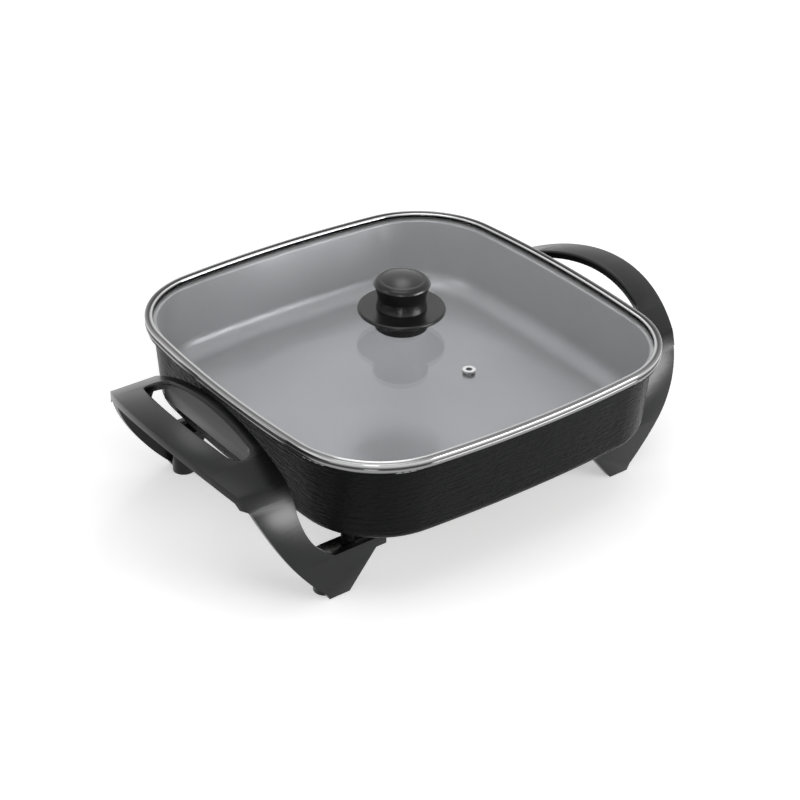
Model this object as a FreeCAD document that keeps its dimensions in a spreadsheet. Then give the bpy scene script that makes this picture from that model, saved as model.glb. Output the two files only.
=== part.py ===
import FreeCAD, Part
import Sketcher
import math
import os
import re

# Square electric skillet with a lift-off glass lid.
# Millimetres, +Z up. The origin is on the table, below the middle of the pan.
# +X points to the right-hand handle and -Y to the person cooking.

os.makedirs("parts", exist_ok=True)
doc = FreeCAD.newDocument("electric_skillet")
Vector = FreeCAD.Vector

# Driving dimensions: name, value, what it measures.
SIZES = [
    ("pan_draft", 4.3, "how far the pan's underside lies inside its top"),
    ("pan_side_radius", 1200.0, "bow of each pan side, seen from above"),
    ("pan_top_corner", 66.0, "corner radius of the pan at the top"),
    ("pan_bottom_corner", 62.0, "corner radius of the pan at the underside"),
    ("pan_wall", 3.4, "wall thickness of the cast pan"),
    ("pan_floor", 6.0, "floor thickness of the cast pan"),
    ("pan_bottom_height", 55.4, "underside of the pan above the table"),
    ("pan_rim_height", 115.9, "top of the pan rim above the table"),
    ("pan_bottom_round", 9.0, "outer radius between wall and underside"),
    ("pan_inner_round", 15.0, "inner radius between wall and floor"),
    ("lip_depth", 3.6, "height of the pan's outer lip"),
    ("lip_round", 1.2, "edge radius of the pan's lip"),
    ("lid_half", 156.0, "half width of the lid, over its steel band"),
    ("lid_over_pan", 6.7, "how far the lid reaches past the pan below its rim"),
    ("lid_over_lip", 2.4, "how far the lid reaches past the pan's lip"),
    ("lid_side_radius", 880.0, "bow of each lid side, seen from above"),
    ("lid_corner", 72.0, "corner radius of the lid"),
    ("lid_seat_gap", 0.1, "gap between the band and the pan rim"),
    ("band_width", 5.6, "width of the steel band, seen from above"),
    ("band_height", 6.6, "height of the steel band"),
    ("band_floor", 0.8, "steel below the glass"),
    ("band_skin", 1.0, "steel outside the edge of the glass"),
    ("band_round", 2.2, "outer edge radius of the steel band"),
    ("band_gap", 0.05, "fine gap between pieces of the lid"),
    ("glass_thickness", 3.6, "thickness of the lid glass"),
    ("stud_radius", 2.5, "radius of the knob screw"),
    ("stud_gap", 0.4, "gap round the knob screw in the glass"),
    ("seal_thickness", 1.0, "thickness of each silicone ring at the knob"),
    ("seal_radius", 17.6, "outer radius of the upper silicone ring"),
    ("lower_seal_radius", 10.0, "outer radius of the lower silicone ring"),
    ("washer_radius", 9.0, "outer radius of the steel washer below the glass"),
    ("washer_thickness", 1.2, "thickness of that washer"),
    ("stud_head_radius", 5.0, "radius of the knob screw's head"),
    ("stud_head_height", 3.0, "height of the knob screw's head"),
    ("stud_depth", 18.0, "how far the screw reaches into the knob"),
    ("collar_radius", 19.2, "radius of the collar under the finger guard"),
    ("collar_height", 12.0, "height of that collar"),
    ("guard_radius", 31.5, "radius of the finger guard disc"),
    ("guard_thickness", 3.0, "thickness of the finger guard disc"),
    ("guard_round", 1.3, "edge radius of the finger guard disc"),
    ("spigot_radius", 9.0, "radius of the peg that centres the knob"),
    ("spigot_height", 2.0, "height of the peg that centres the knob"),
    ("spigot_gap", 0.1, "gap round that peg"),
    ("knob_foot_radius", 18.2, "radius of the knob at its foot"),
    ("knob_waist_radius", 17.2, "radius of the knob at its waist"),
    ("knob_top_radius", 20.3, "largest radius of the knob"),
    ("knob_foot_height", 1.2, "height of the straight foot of the knob"),
    ("knob_waist_curve", 30.0, "curve of the waist"),
    ("knob_flare_curve", 34.0, "curve from the waist up to the widest place"),
    ("knob_edge_curve", 4.6, "curve of the knob's upper edge"),
    ("knob_waist_height", 8.0, "height of the waist above the guard"),
    ("knob_widest_height", 18.5, "height of the widest place above the guard"),
    ("knob_height", 24.0, "height of the knob above the guard"),
    ("knob_crown", 60.0, "radius of the knob's domed top"),
    ("knob_shoulder_radius", 15.0, "radius where the dome starts"),
    ("vent_distance", 77.0, "steam vent in front of the knob"),
    ("vent_flange_radius", 4.6, "radius of the vent's flange"),
    ("vent_tube_radius", 3.2, "outer radius of the vent's tube"),
    ("vent_bore_radius", 2.2, "radius of the steam hole"),
    ("vent_flange_height", 1.4, "height of the vent's flange"),
    ("vent_gap", 0.15, "gap round the vent's tube"),
    ("grip_top_height", 113.4, "highest place of each handle above the table"),
    ("grip_arch_radius", 175.0, "arch of the grip, seen from the side"),
    ("grip_beyond", 54.9, "outermost place of the grip, past the lid's edge"),
    ("grip_plan_radius", 185.0, "bow of the grip's outer edge, from above"),
    ("grip_tuck", 0.6, "inner edge of the grip, inside the lid's edge"),
    ("handle_skin", 5.6, "thickness of the moulded handle"),
    ("bend_set_back", 13.0, "bend at the outer edge, inside the leg's outer face"),
    ("bend_radius", 10.0, "outer radius of the bend from grip to leg"),
    ("leg_span", 103.0, "outer face of each leg, from the middle along Y"),
    ("leg_arc_radius", 96.6, "curve of the leg, seen from the side"),
    ("leg_straight_height", 33.4, "height where the leg turns upright"),
    ("leg_sweep_radius", 205.0, "bow of the leg's outer edge, from the front"),
    ("leg_top_drop", 29.5, "bend at the outer edge, below the top of the grip"),
    ("leg_heel_tuck", 18.0, "outer edge of the leg above the foot, inside the lid's edge"),
    ("leg_heel_height", 5.4, "height of the heel, where that outer edge ends"),
    ("leg_toe_height", 0.8, "lower end of the moulded leg above the table"),
    ("leg_toe_outer_tuck", 20.4, "outer corner of the leg's lower end, inside the lid's edge"),
    ("leg_toe_inner_tuck", 37.0, "inner corner of the leg's lower end, inside the lid's edge"),
    ("notch_height", 35.4, "top edge of the leg's inward arm"),
    ("notch_tuck", 25.0, "where the leg's inner edge meets its arm, inside the lid's edge"),
    ("notch_top_drop", 10.5, "start of the leg's inner edge, below the bend"),
    ("notch_radius", 46.0, "curve of the leg's inner edge"),
    ("arm_tuck", 67.5, "inner end of the leg's arm, inside the lid's edge"),
    ("arm_lower_height", 27.9, "lower edge of the arm at its inner end"),
    ("arm_lower_tuck", 59.0, "where the arm's lower edge turns down, inside the lid's edge"),
    ("slot_beyond", 7.0, "inner edge of the finger slot, past the lid's edge"),
    ("grip_bar", 22.0, "width of the bar outside the finger slot"),
    ("slot_half_length", 57.0, "half length of the finger slot"),
    ("slot_corner", 9.0, "corner radius of the finger slot"),
    ("slot_edge_round", 2.0, "edge radius round the finger slot"),
    ("shield_depth", 24.0, "depth of the heat shield wall below the grip"),
    ("shield_skin", 4.4, "thickness of the heat shield wall"),
    ("shield_half_length", 57.0, "half length of the heat shield wall"),
    ("shelf_thickness", 4.0, "thickness of the shelf behind each leg"),
    ("shelf_height", 33.0, "top of the shelf above the table"),
    ("shelf_depth", 19.0, "depth of the shelf behind the leg's outer face"),
    ("post_tuck", 44.0, "axis of each pan post along X, inside the lid's edge"),
    ("post_set_back", 12.0, "axis of each pan post, inside the leg's outer face"),
    ("post_radius", 5.0, "radius of the pan's mounting posts"),
    ("screw_radius", 2.0, "radius of the handle screws"),
    ("screw_gap", 0.1, "gap round each screw"),
    ("screw_depth", 12.0, "how far a handle screw reaches into its post"),
    ("screw_head_radius", 4.2, "head radius of the handle screws"),
    ("screw_head_height", 2.6, "head height of the handle screws"),
    ("screw_washer_radius", 5.0, "radius of the washers on the handle screws"),
    ("screw_washer_thickness", 0.8, "thickness of those washers"),
    ("foot_tuck", 25.5, "axis of each foot along X, inside the lid's edge"),
    ("foot_radius", 8.5, "radius of the rubber feet"),
    ("foot_stem_radius", 3.0, "radius of a foot's stem"),
    ("foot_stem_height", 8.0, "length of a foot's stem"),
    ("foot_gap", 0.1, "gap round a foot's stem"),
    ("foot_round", 0.4, "lower edge radius of the rubber feet"),
    ("foot_set_back", 12.5, "axis of each foot along Y, inside the leg's outer face"),
    ("element_radius", 4.0, "radius of the heating element's sheath"),
    ("element_loop_tuck", 68.0, "heating element's loop, inside the lid's edge"),
    ("element_bend", 16.0, "radius of the element's bends to its ends"),
    ("element_spacing", 15.0, "half distance between the element's ends"),
    ("element_proud", 3.0, "how far the element's axis lies below the pan"),
    ("element_gap", 0.1, "gap round the element and its pins' stems"),
    ("element_reach_tuck", 18.0, "end of the element's sheath, inside the lid's edge"),
    ("pin_radius", 2.4, "radius of the terminal pins"),
    ("pin_length", 23.0, "length of the terminal pins"),
    ("pin_stem_radius", 2.0, "radius of a pin's stem, inside its ceramic bead"),
    ("pin_stem_length", 5.0, "length of a pin's stem"),
    ("bead_length", 4.0, "length of the ceramic beads"),
    ("bead_radius", 3.6, "radius of the ceramic beads"),
    ("boss_length", 68.0, "length of the probe boss"),
    ("boss_outer_tuck", 26.0, "outer end of the probe boss, inside the lid's edge"),
    ("boss_half_width", 6.0, "half width of the long probe boss"),
    ("boss_depth", 13.0, "depth of the boss below the pan"),
    ("block_length", 12.0, "length of the wide socket block"),
    ("block_half_width", 25.0, "half width of the socket block"),
    ("probe_drop", 7.5, "axis of the probe bore below the pan"),
    ("probe_tube_radius", 4.2, "outer radius of the probe tube"),
    ("probe_bore_radius", 3.4, "radius of the bore for the probe"),
    ("probe_tube_length", 62.0, "length of the probe tube"),
    ("probe_gap", 0.1, "gap round the probe tube"),
    ("probe_tube_end", 2.0, "closed end of the probe tube"),
    ("shroud_skin", 2.0, "wall of the socket shroud"),
    ("shroud_half_width", 27.0, "outer half width of the socket shroud"),
    ("shroud_height", 27.0, "height of the socket shroud"),
    ("shroud_rise", 1.5, "gap between the shroud and the pan's underside"),
    ("shroud_length", 36.0, "length of the socket shroud"),
    ("shroud_gap", 0.1, "gap between the shroud and the socket block"),
    ("shroud_screw_radius", 1.5, "radius of the shroud screws"),
    ("shroud_screw_spacing", 21.5, "half distance between the shroud screws"),
    ("shroud_screw_depth", 8.0, "how far those screws reach into the block"),
    ("shroud_head_radius", 2.8, "head radius of the shroud screws"),
    ("shroud_head_height", 1.8, "head height of the shroud screws"),
]

# Dimensions that follow from the driving ones: name, formula, what it measures.
FOLLOWING = [
    ("pan_top_half", "lid_half - lid_over_pan", "half width of the pan just below its rim"),
    ("pan_bottom_half", "pan_top_half - pan_draft", "half width of the pan at its underside"),
    ("lip_half", "lid_half - lid_over_lip", "half width of the pan's lip"),
    ("grip_outer_reach", "lid_half + grip_beyond", "outermost place of the grip"),
    ("grip_inner_reach", "lid_half - grip_tuck", "inner edge of the grip"),
    ("leg_top_reach", "grip_outer_reach - grip_plan_radius + sqrt(grip_plan_radius ^ 2"
     " - bend_length ^ 2)", "outer edge of the leg at the bend"),
    ("leg_heel_reach", "lid_half - leg_heel_tuck", "outer edge of the leg above the foot"),
    ("leg_toe_outer", "lid_half - leg_toe_outer_tuck", "outer corner of the leg's lower end"),
    ("leg_toe_inner", "lid_half - leg_toe_inner_tuck", "inner corner of the leg's lower end"),
    ("notch_reach", "lid_half - notch_tuck", "where the leg's inner edge meets its arm"),
    ("arm_reach", "lid_half - arm_tuck", "inner end of the leg's arm"),
    ("arm_lower_reach", "lid_half - arm_lower_tuck", "where the arm's lower edge turns down"),
    ("slot_inner_reach", "lid_half + slot_beyond", "inner edge of the finger slot"),
    ("slot_outer_reach", "grip_outer_reach - grip_bar", "outer edge of the finger slot"),
    ("post_reach", "lid_half - post_tuck", "axis of each pan post along X"),
    ("post_span", "leg_span - post_set_back", "axis of each pan post along Y"),
    ("bend_length", "leg_span - bend_set_back", "half length of the grip's bowed edge"),
    ("leg_top_height", "grip_top_height - leg_top_drop", "height of the bend"),
    ("notch_top_height", "leg_top_height - notch_top_drop", "where the leg's inner edge starts"),
    ("foot_reach", "lid_half - foot_tuck", "axis of each foot along X"),
    ("foot_span", "leg_span - foot_set_back", "axis of each foot along Y"),
    ("element_loop", "lid_half - element_loop_tuck", "radius of the element's loop"),
    ("element_reach", "lid_half - element_reach_tuck", "end of the element's sheath"),
    ("boss_outer", "lid_half - boss_outer_tuck", "outer end of the probe boss"),
    ("boss_inner", "boss_outer - boss_length", "inner end of the probe boss"),
]

sheet = doc.addObject("Spreadsheet::Sheet", "Sizes")
rows = SIZES + [(alias, "=" + formula, note) for alias, formula, note in FOLLOWING]
for row, (alias, content, note) in enumerate(rows, start=1):
    sheet.set("A%d" % row, alias)
    sheet.set("B%d" % row, str(content))
    sheet.setAlias("B%d" % row, alias)
    sheet.set("C%d" % row, note)
doc.recompute()

BIG = 60.0   # how far a cutting outline runs past what it cuts


def sized(text):
    """Give every size name in a formula its sheet."""
    return re.sub(r"\b[a-z]+(_[a-z]+)+\b", lambda found: "Sizes." + found.group(0), text)


def size(text):
    """Value of a formula of sizes, in millimetres."""
    answer = sheet.evalExpression(sized(text))
    return float(getattr(answer, "Value", answer))


def bind(obj, prop, text):
    obj.setExpression(prop, sized(text))


def plane_of(body, role):
    return [item for item in body.Origin.OriginFeatures if item.Role == role][0]


def new_body(label):
    body = doc.addObject("PartDesign::Body", label)
    body.Label = label
    return body


def new_sketch(body, name, role, offset="0"):
    """Sketch on one of the body's own planes, moved along its normal."""
    sketch = body.newObject("Sketcher::SketchObject", name)
    sketch.AttachmentSupport = [(plane_of(body, role), "")]
    sketch.MapMode = "FlatFace"
    if offset != "0":
        bind(sketch, "AttachmentOffset.Base.z", offset)
    return sketch


def pin_point(sketch, edge, end, x, y):
    """Tie one end of a sketch edge to two formulas."""
    number = sketch.addConstraint(Sketcher.Constraint("DistanceX", edge, end, size(x)))
    bind(sketch, "Constraints[%d]" % number, x)
    number = sketch.addConstraint(Sketcher.Constraint("DistanceY", edge, end, size(y)))
    bind(sketch, "Constraints[%d]" % number, y)


def arc_through(start, end, radius, clockwise):
    """Arc of the given radius from start to end, the short way round."""
    half = (end - start) * 0.5
    rise = math.sqrt(max(radius * radius - half.Length ** 2, 0.0))
    side = Vector(-half.y, half.x, 0).normalize()
    if clockwise:
        side = side * -1
    centre = start + half + side * rise
    first = start if not clockwise else end
    last = end if not clockwise else start
    begin = math.atan2(first.y - centre.y, first.x - centre.x)
    stop = math.atan2(last.y - centre.y, last.x - centre.x)
    circle = Part.Circle(centre, Vector(0, 0, 1), radius)
    return Part.ArcOfCircle(circle, begin, stop)


def outline(sketch, corners):
    """Closed outline. Each corner is (x, y) or (x, y, radius, turn): then an arc
    of that radius runs on to the next corner, turning left or right."""
    points = [Vector(size(corner[0]), size(corner[1]), 0) for corner in corners]
    ends = []
    for index, corner in enumerate(corners):
        start = points[index]
        finish = points[(index + 1) % len(points)]
        if len(corner) == 2:
            edge = sketch.addGeometry(Part.LineSegment(start, finish), False)
            ends.append((edge, 1, 2))
            continue
        clockwise = corner[3] == "right"
        edge = sketch.addGeometry(arc_through(start, finish, size(corner[2]), clockwise), False)
        ends.append((edge, 2, 1) if clockwise else (edge, 1, 2))
        number = sketch.addConstraint(Sketcher.Constraint("Radius", edge, size(corner[2])))
        bind(sketch, "Constraints[%d]" % number, corner[2])
    for index, corner in enumerate(corners):
        edge, start, finish = ends[index]
        after, after_start, after_finish = ends[(index + 1) % len(ends)]
        sketch.addConstraint(Sketcher.Constraint("Coincident", edge, finish, after, after_start))
        pin_point(sketch, edge, start, corner[0], corner[1])
    return sketch


def add_circle(sketch, x, y, radius):
    circle = Part.Circle(Vector(size(x), size(y), 0), Vector(0, 0, 1), size(radius))
    edge = sketch.addGeometry(circle, False)
    pin_point(sketch, edge, 3, x, y)
    number = sketch.addConstraint(Sketcher.Constraint("Radius", edge, size(radius)))
    bind(sketch, "Constraints[%d]" % number, radius)


def rounded_square(sketch, half, side, corner):
    """Four bowed sides and four round corners, each tangent to the next."""
    reach, bow, nose = size(half), size(side), size(corner)
    shift = reach - bow
    gap = bow - nose
    across = (2 * shift + math.sqrt(4 * shift ** 2 - 8 * (shift ** 2 - gap ** 2))) / 4
    swing = math.atan2(across, across - shift)
    up = Vector(0, 0, 1)
    sides = []
    corners = []
    for quarter in range(4):
        turn = quarter * math.pi / 2
        centre = Vector(shift * math.cos(turn), shift * math.sin(turn), 0)
        arc = Part.ArcOfCircle(Part.Circle(centre, up, bow), turn - swing, turn + swing)
        sides.append(sketch.addGeometry(arc, False))
        middle = turn + math.pi / 4
        centre = Vector(math.cos(middle), math.sin(middle), 0) * across * math.sqrt(2)
        arc = Part.ArcOfCircle(Part.Circle(centre, up, nose), turn + swing, turn + math.pi / 2 - swing)
        corners.append(sketch.addGeometry(arc, False))
    for quarter in range(4):
        this_side, this_corner = sides[quarter], corners[quarter]
        next_side = sides[(quarter + 1) % 4]
        sketch.addConstraint(Sketcher.Constraint("Tangent", this_side, 2, this_corner, 1))
        sketch.addConstraint(Sketcher.Constraint("Tangent", this_corner, 2, next_side, 1))
    away = "(%s) - (%s)" % (half, side)
    back = "(%s) - (%s)" % (side, half)
    for quarter, (x, y) in enumerate(((away, "0"), ("0", away), (back, "0"), ("0", back))):
        pin_point(sketch, sides[quarter], 3, x, y)
        number = sketch.addConstraint(Sketcher.Constraint("Radius", sides[quarter], bow))
        bind(sketch, "Constraints[%d]" % number, side)
        number = sketch.addConstraint(Sketcher.Constraint("Radius", corners[quarter], nose))
        bind(sketch, "Constraints[%d]" % number, corner)
    return sketch


def pad(body, name, sketch, length, down=False):
    feature = body.newObject("PartDesign::Pad", name)
    feature.Profile = sketch
    bind(feature, "Length", length)
    feature.Reversed = down
    body.Tip = feature
    return feature


def pocket_through(body, name, sketch):
    """Cut right through, both ways from the sketch."""
    feature = body.newObject("PartDesign::Pocket", name)
    feature.Profile = sketch
    feature.Type = "ThroughAll"
    feature.Midplane = True
    body.Tip = feature
    return feature


def pocket(body, name, sketch, depth, up=False):
    feature = body.newObject("PartDesign::Pocket", name)
    feature.Profile = sketch
    bind(feature, "Length", depth)
    feature.Reversed = up
    body.Tip = feature
    return feature


def revolve(body, name, sketch):
    """Turn a half section about the body's upright axis."""
    feature = body.newObject("PartDesign::Revolution", name)
    feature.Profile = sketch
    feature.ReferenceAxis = (sketch, ["V_Axis"])
    feature.Angle = 360.0
    body.Tip = feature
    return feature


def round_edges(body, name, radius, wanted):
    """Fillet the edges of the body's tip that the test picks out."""
    doc.recompute()
    base = body.Tip
    names = ["Edge%d" % (n + 1) for n, edge in enumerate(base.Shape.Edges) if wanted(edge)]
    feature = body.newObject("PartDesign::Fillet", name)
    feature.Base = (base, names)
    bind(feature, "Radius", radius)
    body.Tip = feature
    doc.recompute()
    return feature


def flat_at(edge, height):
    """Whether an edge lies level at this height."""
    box = edge.BoundBox
    return abs(box.ZMin - height) < 0.01 and abs(box.ZMax - height) < 0.01


def place(obj, x, y, z, axis=None, angle=0.0):
    if axis is not None:
        obj.Placement = FreeCAD.Placement(Vector(0, 0, 0), FreeCAD.Rotation(axis, angle))
    bind(obj, "Placement.Base.x", x)
    bind(obj, "Placement.Base.y", y)
    bind(obj, "Placement.Base.z", z)
    return obj


def cylinder(name, radius, height, x, y, z, axis=None, angle=0.0):
    obj = doc.addObject("Part::Cylinder", name)
    obj.Label = name
    bind(obj, "Radius", radius)
    bind(obj, "Height", height)
    return place(obj, x, y, z, axis, angle)


def box(name, length, width, height, x, y, z):
    obj = doc.addObject("Part::Box", name)
    obj.Label = name
    bind(obj, "Length", length)
    bind(obj, "Width", width)
    bind(obj, "Height", height)
    return place(obj, x, y, z)


def cut(name, base, tool):
    obj = doc.addObject("Part::Cut", name)
    obj.Label = name
    obj.Base = base
    obj.Tool = tool
    return obj


def fuse(name, shapes):
    obj = doc.addObject("Part::MultiFuse", name)
    obj.Label = name
    obj.Shapes = shapes
    return obj


def group(name, shapes):
    obj = doc.addObject("Part::Compound", name)
    obj.Label = name
    obj.Links = shapes
    return obj


EAST = Vector(0, 1, 0)   # turning 90 degrees about this points an upright shape along +X
nodes = {}


def keep(label, obj):
    """Name one finished piece."""
    obj.Label = label
    nodes[label] = obj
    return obj


# Pan casting: a tapering rounded square, hollowed from above.
UNDER = "pan_bottom_height"
body = new_body("pan_casting")
low = rounded_square(new_sketch(body, "pan_low", "XY_Plane", UNDER),
                     "pan_bottom_half", "pan_side_radius", "pan_bottom_corner")
high = rounded_square(new_sketch(body, "pan_high", "XY_Plane", "pan_rim_height"),
                      "pan_top_half", "pan_side_radius", "pan_top_corner")
loft = body.newObject("PartDesign::AdditiveLoft", "pan_outside")
loft.Profile = low
loft.Sections = [high]
loft.Ruled = True
body.Tip = loft
lip = rounded_square(new_sketch(body, "pan_lip", "XY_Plane", "pan_rim_height"),
                     "lip_half", "pan_side_radius", "pan_top_corner + lip_half - pan_top_half")
pad(body, "pan_lip_pad", lip, "lip_depth", down=True)
round_edges(body, "pan_underside_round", "pan_bottom_round", lambda e: flat_at(e, size(UNDER)))
low = rounded_square(new_sketch(body, "hollow_low", "XY_Plane", "pan_bottom_height + pan_floor"),
                     "pan_bottom_half - pan_wall", "pan_side_radius - pan_wall",
                     "pan_bottom_corner - pan_wall")
high = rounded_square(new_sketch(body, "hollow_high", "XY_Plane", "pan_rim_height"),
                      "pan_top_half - pan_wall", "pan_side_radius - pan_wall",
                      "pan_top_corner - pan_wall")
hollow = body.newObject("PartDesign::SubtractiveLoft", "pan_inside")
hollow.Profile = low
hollow.Sections = [high]
hollow.Ruled = True
body.Tip = hollow
round_edges(body, "pan_inside_round", "pan_inner_round",
            lambda e: flat_at(e, size("pan_bottom_height + pan_floor")))
round_edges(body, "pan_lip_round", "lip_round",
            lambda e: flat_at(e, size("pan_rim_height")) or flat_at(e, size("pan_rim_height - lip_depth")))
pan_casting = body

# What is cast on below the pan: four posts for the handles, the probe boss and
# the block that holds the element's ends. Each runs a little into the floor.
INTO_FLOOR = "pan_floor / 2"
post_length = "pan_bottom_height - shelf_height + " + INTO_FLOOR
cast_on = [pan_casting]
CORNERS = [("front_right", 1, -1), ("rear_right", 1, 1), ("rear_left", -1, 1), ("front_left", -1, -1)]
for place_name, side, end in CORNERS:
    cast_on.append(cylinder("post_" + place_name, "post_radius", post_length,
                            "%d * post_reach" % side, "%d * post_span" % end, "shelf_height"))
cast_on.append(box("probe_boss", "boss_outer - boss_inner", "2 * boss_half_width",
                   "boss_depth + " + INTO_FLOOR,
                   "boss_inner", "-boss_half_width", "pan_bottom_height - boss_depth"))
cast_on.append(box("socket_block", "block_length", "2 * block_half_width",
                   "boss_depth + " + INTO_FLOOR,
                   "boss_outer - block_length", "-block_half_width",
                   "pan_bottom_height - boss_depth"))
pan_solid = fuse("pan_solid", cast_on)


def element_path():
    """Centre line of the element: two straight ends, two bends and one big loop."""
    level = size("pan_bottom_height - element_proud")
    loop, bend, spacing = size("element_loop"), size("element_bend"), size("element_spacing")
    reach = size("element_reach")
    rise = spacing + bend
    turn_x = math.sqrt((loop + bend) ** 2 - rise ** 2)
    touch = loop / (loop + bend)

    def at(x, y):
        return Vector(x, y, level)

    lower_middle = at(turn_x, -rise) + Vector(-bend, bend, 0) / math.sqrt(2)
    upper_middle = at(turn_x, rise) + Vector(-bend, -bend, 0) / math.sqrt(2)
    return Part.Wire([
        Part.LineSegment(at(reach, -spacing), at(turn_x, -spacing)).toShape(),
        Part.Arc(at(turn_x, -spacing), lower_middle, at(turn_x * touch, -rise * touch)).toShape(),
        Part.Arc(at(turn_x * touch, -rise * touch), at(-loop, 0), at(turn_x * touch, rise * touch)).toShape(),
        Part.Arc(at(turn_x * touch, rise * touch), upper_middle, at(turn_x, spacing)).toShape(),
        Part.LineSegment(at(turn_x, spacing), at(reach, spacing)).toShape(),
    ])


def tube_along(path, radius):
    start = path.Vertexes[0].Point
    circle = Part.Circle(start, Vector(1, 0, 0), radius)
    return path.makePipeShell([Part.Wire(circle.toShape())], True, False)


element = doc.addObject("Part::Feature", "heating_element")
element.Shape = tube_along(element_path(), size("element_radius"))
keep("heating_element", element)
groove = doc.addObject("Part::Feature", "element_groove")
groove.Shape = tube_along(element_path(), size("element_radius + element_gap"))

ELEMENT_Z = "pan_bottom_height - element_proud"
PROBE_Z = "pan_bottom_height - probe_drop"
pan_cuts = [groove]
for number, side in enumerate((-1, 1)):
    pan_cuts.append(cylinder("element_exit_%d" % number, "element_radius + element_gap",
                             "2 * bead_length", "element_reach - bead_length",
                             "%d * element_spacing" % side, ELEMENT_Z, EAST, 90))
pan_cuts.append(cylinder("probe_hole", "probe_tube_radius + probe_gap", "probe_tube_length + probe_gap",
                         "boss_outer - probe_tube_length - probe_gap", "0", PROBE_Z, EAST, 90))
for place_name, side, end in CORNERS:
    pan_cuts.append(cylinder("post_hole_" + place_name, "screw_radius + screw_gap",
                             "screw_depth + 2 * screw_gap", "%d * post_reach" % side,
                             "%d * post_span" % end, "shelf_height - screw_gap"))
for number, side in enumerate((-1, 1)):
    pan_cuts.append(cylinder("shroud_hole_%d" % number, "shroud_screw_radius + screw_gap",
                             "shroud_screw_depth + screw_gap",
                             "boss_outer - shroud_screw_depth - screw_gap",
                             "%d * shroud_screw_spacing" % side, PROBE_Z, EAST, 90))
keep("pan_body", cut("pan_body", pan_solid, fuse("pan_cuts", pan_cuts)))

# Probe tube: a closed steel tube that takes the thermostat's probe.
tube = cylinder("probe_tube_outside", "probe_tube_radius", "probe_tube_length",
                "boss_outer - probe_tube_length", "0", PROBE_Z, EAST, 90)
bore = cylinder("probe_tube_bore", "probe_bore_radius", "probe_tube_length",
                "boss_outer - probe_tube_length + probe_tube_end", "0", PROBE_Z, EAST, 90)
keep("probe_tube", cut("probe_tube", tube, bore))

# Ceramic beads and terminal pins at the two ends of the element.
for number, (label, side) in enumerate((("front", -1), ("rear", 1))):
    spacing = "%d * element_spacing" % side
    bead = cylinder("bead_%s_outside" % label, "bead_radius", "bead_length",
                    "element_reach", spacing, ELEMENT_Z, EAST, 90)
    core = cylinder("bead_%s_core" % label, "pin_stem_radius + element_gap", "bead_length",
                    "element_reach", spacing, ELEMENT_Z, EAST, 90)
    keep("%s_ceramic_bead" % label, cut("%s_ceramic_bead" % label, bead, core))
    stem = cylinder("pin_%s_stem" % label, "pin_stem_radius", "pin_stem_length",
                    "element_reach", spacing, ELEMENT_Z, EAST, 90)
    contact = cylinder("pin_%s_contact" % label, "pin_radius", "pin_length",
                       "element_reach + pin_stem_length", spacing, ELEMENT_Z, EAST, 90)
    keep("%s_terminal_pin" % label, fuse("%s_terminal_pin" % label, [stem, contact]))

# Socket shroud: a channel below and beside the pins, with a back plate that is
# screwed to the socket block. The pan covers it from above.
SHROUD_TOP = "pan_bottom_height - shroud_rise"
shroud_outer = box("shroud_outside", "shroud_length", "2 * shroud_half_width", "shroud_height",
                   "boss_outer + shroud_gap", "-shroud_half_width", SHROUD_TOP + " - shroud_height")
shroud_inner = box("shroud_inside", "shroud_length", "2 * (shroud_half_width - shroud_skin)",
                   "shroud_height", "boss_outer + shroud_skin + shroud_gap",
                   "-shroud_half_width + shroud_skin",
                   SHROUD_TOP + " - shroud_height + shroud_skin")
shroud_cuts = [shroud_inner]
shroud_cuts.append(cylinder("shroud_probe_hole", "probe_tube_radius + probe_gap", "shroud_length",
                            "boss_outer - shroud_skin", "0", PROBE_Z, EAST, 90))
for number, side in enumerate((-1, 1)):
    shroud_cuts.append(cylinder("shroud_pin_hole_%d" % number, "element_radius + element_gap",
                                "shroud_length", "boss_outer - shroud_skin",
                                "%d * element_spacing" % side, ELEMENT_Z, EAST, 90))
    shroud_cuts.append(cylinder("shroud_screw_hole_%d" % number,
                                "shroud_screw_radius + screw_gap", "shroud_length",
                                "boss_outer - shroud_skin",
                                "%d * shroud_screw_spacing" % side, PROBE_Z, EAST, 90))
keep("socket_shroud", cut("socket_shroud", shroud_outer, fuse("shroud_cuts", shroud_cuts)))
screws = []
for number, side in enumerate((-1, 1)):
    across = "%d * shroud_screw_spacing" % side
    shank = cylinder("shroud_shank_%d" % number, "shroud_screw_radius",
                     "shroud_screw_depth + shroud_skin + shroud_gap",
                     "boss_outer - shroud_screw_depth", across, PROBE_Z, EAST, 90)
    head = cylinder("shroud_head_%d" % number, "shroud_head_radius", "shroud_head_height",
                    "boss_outer + shroud_skin + shroud_gap", across, PROBE_Z, EAST, 90)
    screws.append(fuse("shroud_screw_%d" % number, [shank, head]))
keep("shroud_screws", group("shroud_screws", screws))


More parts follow.
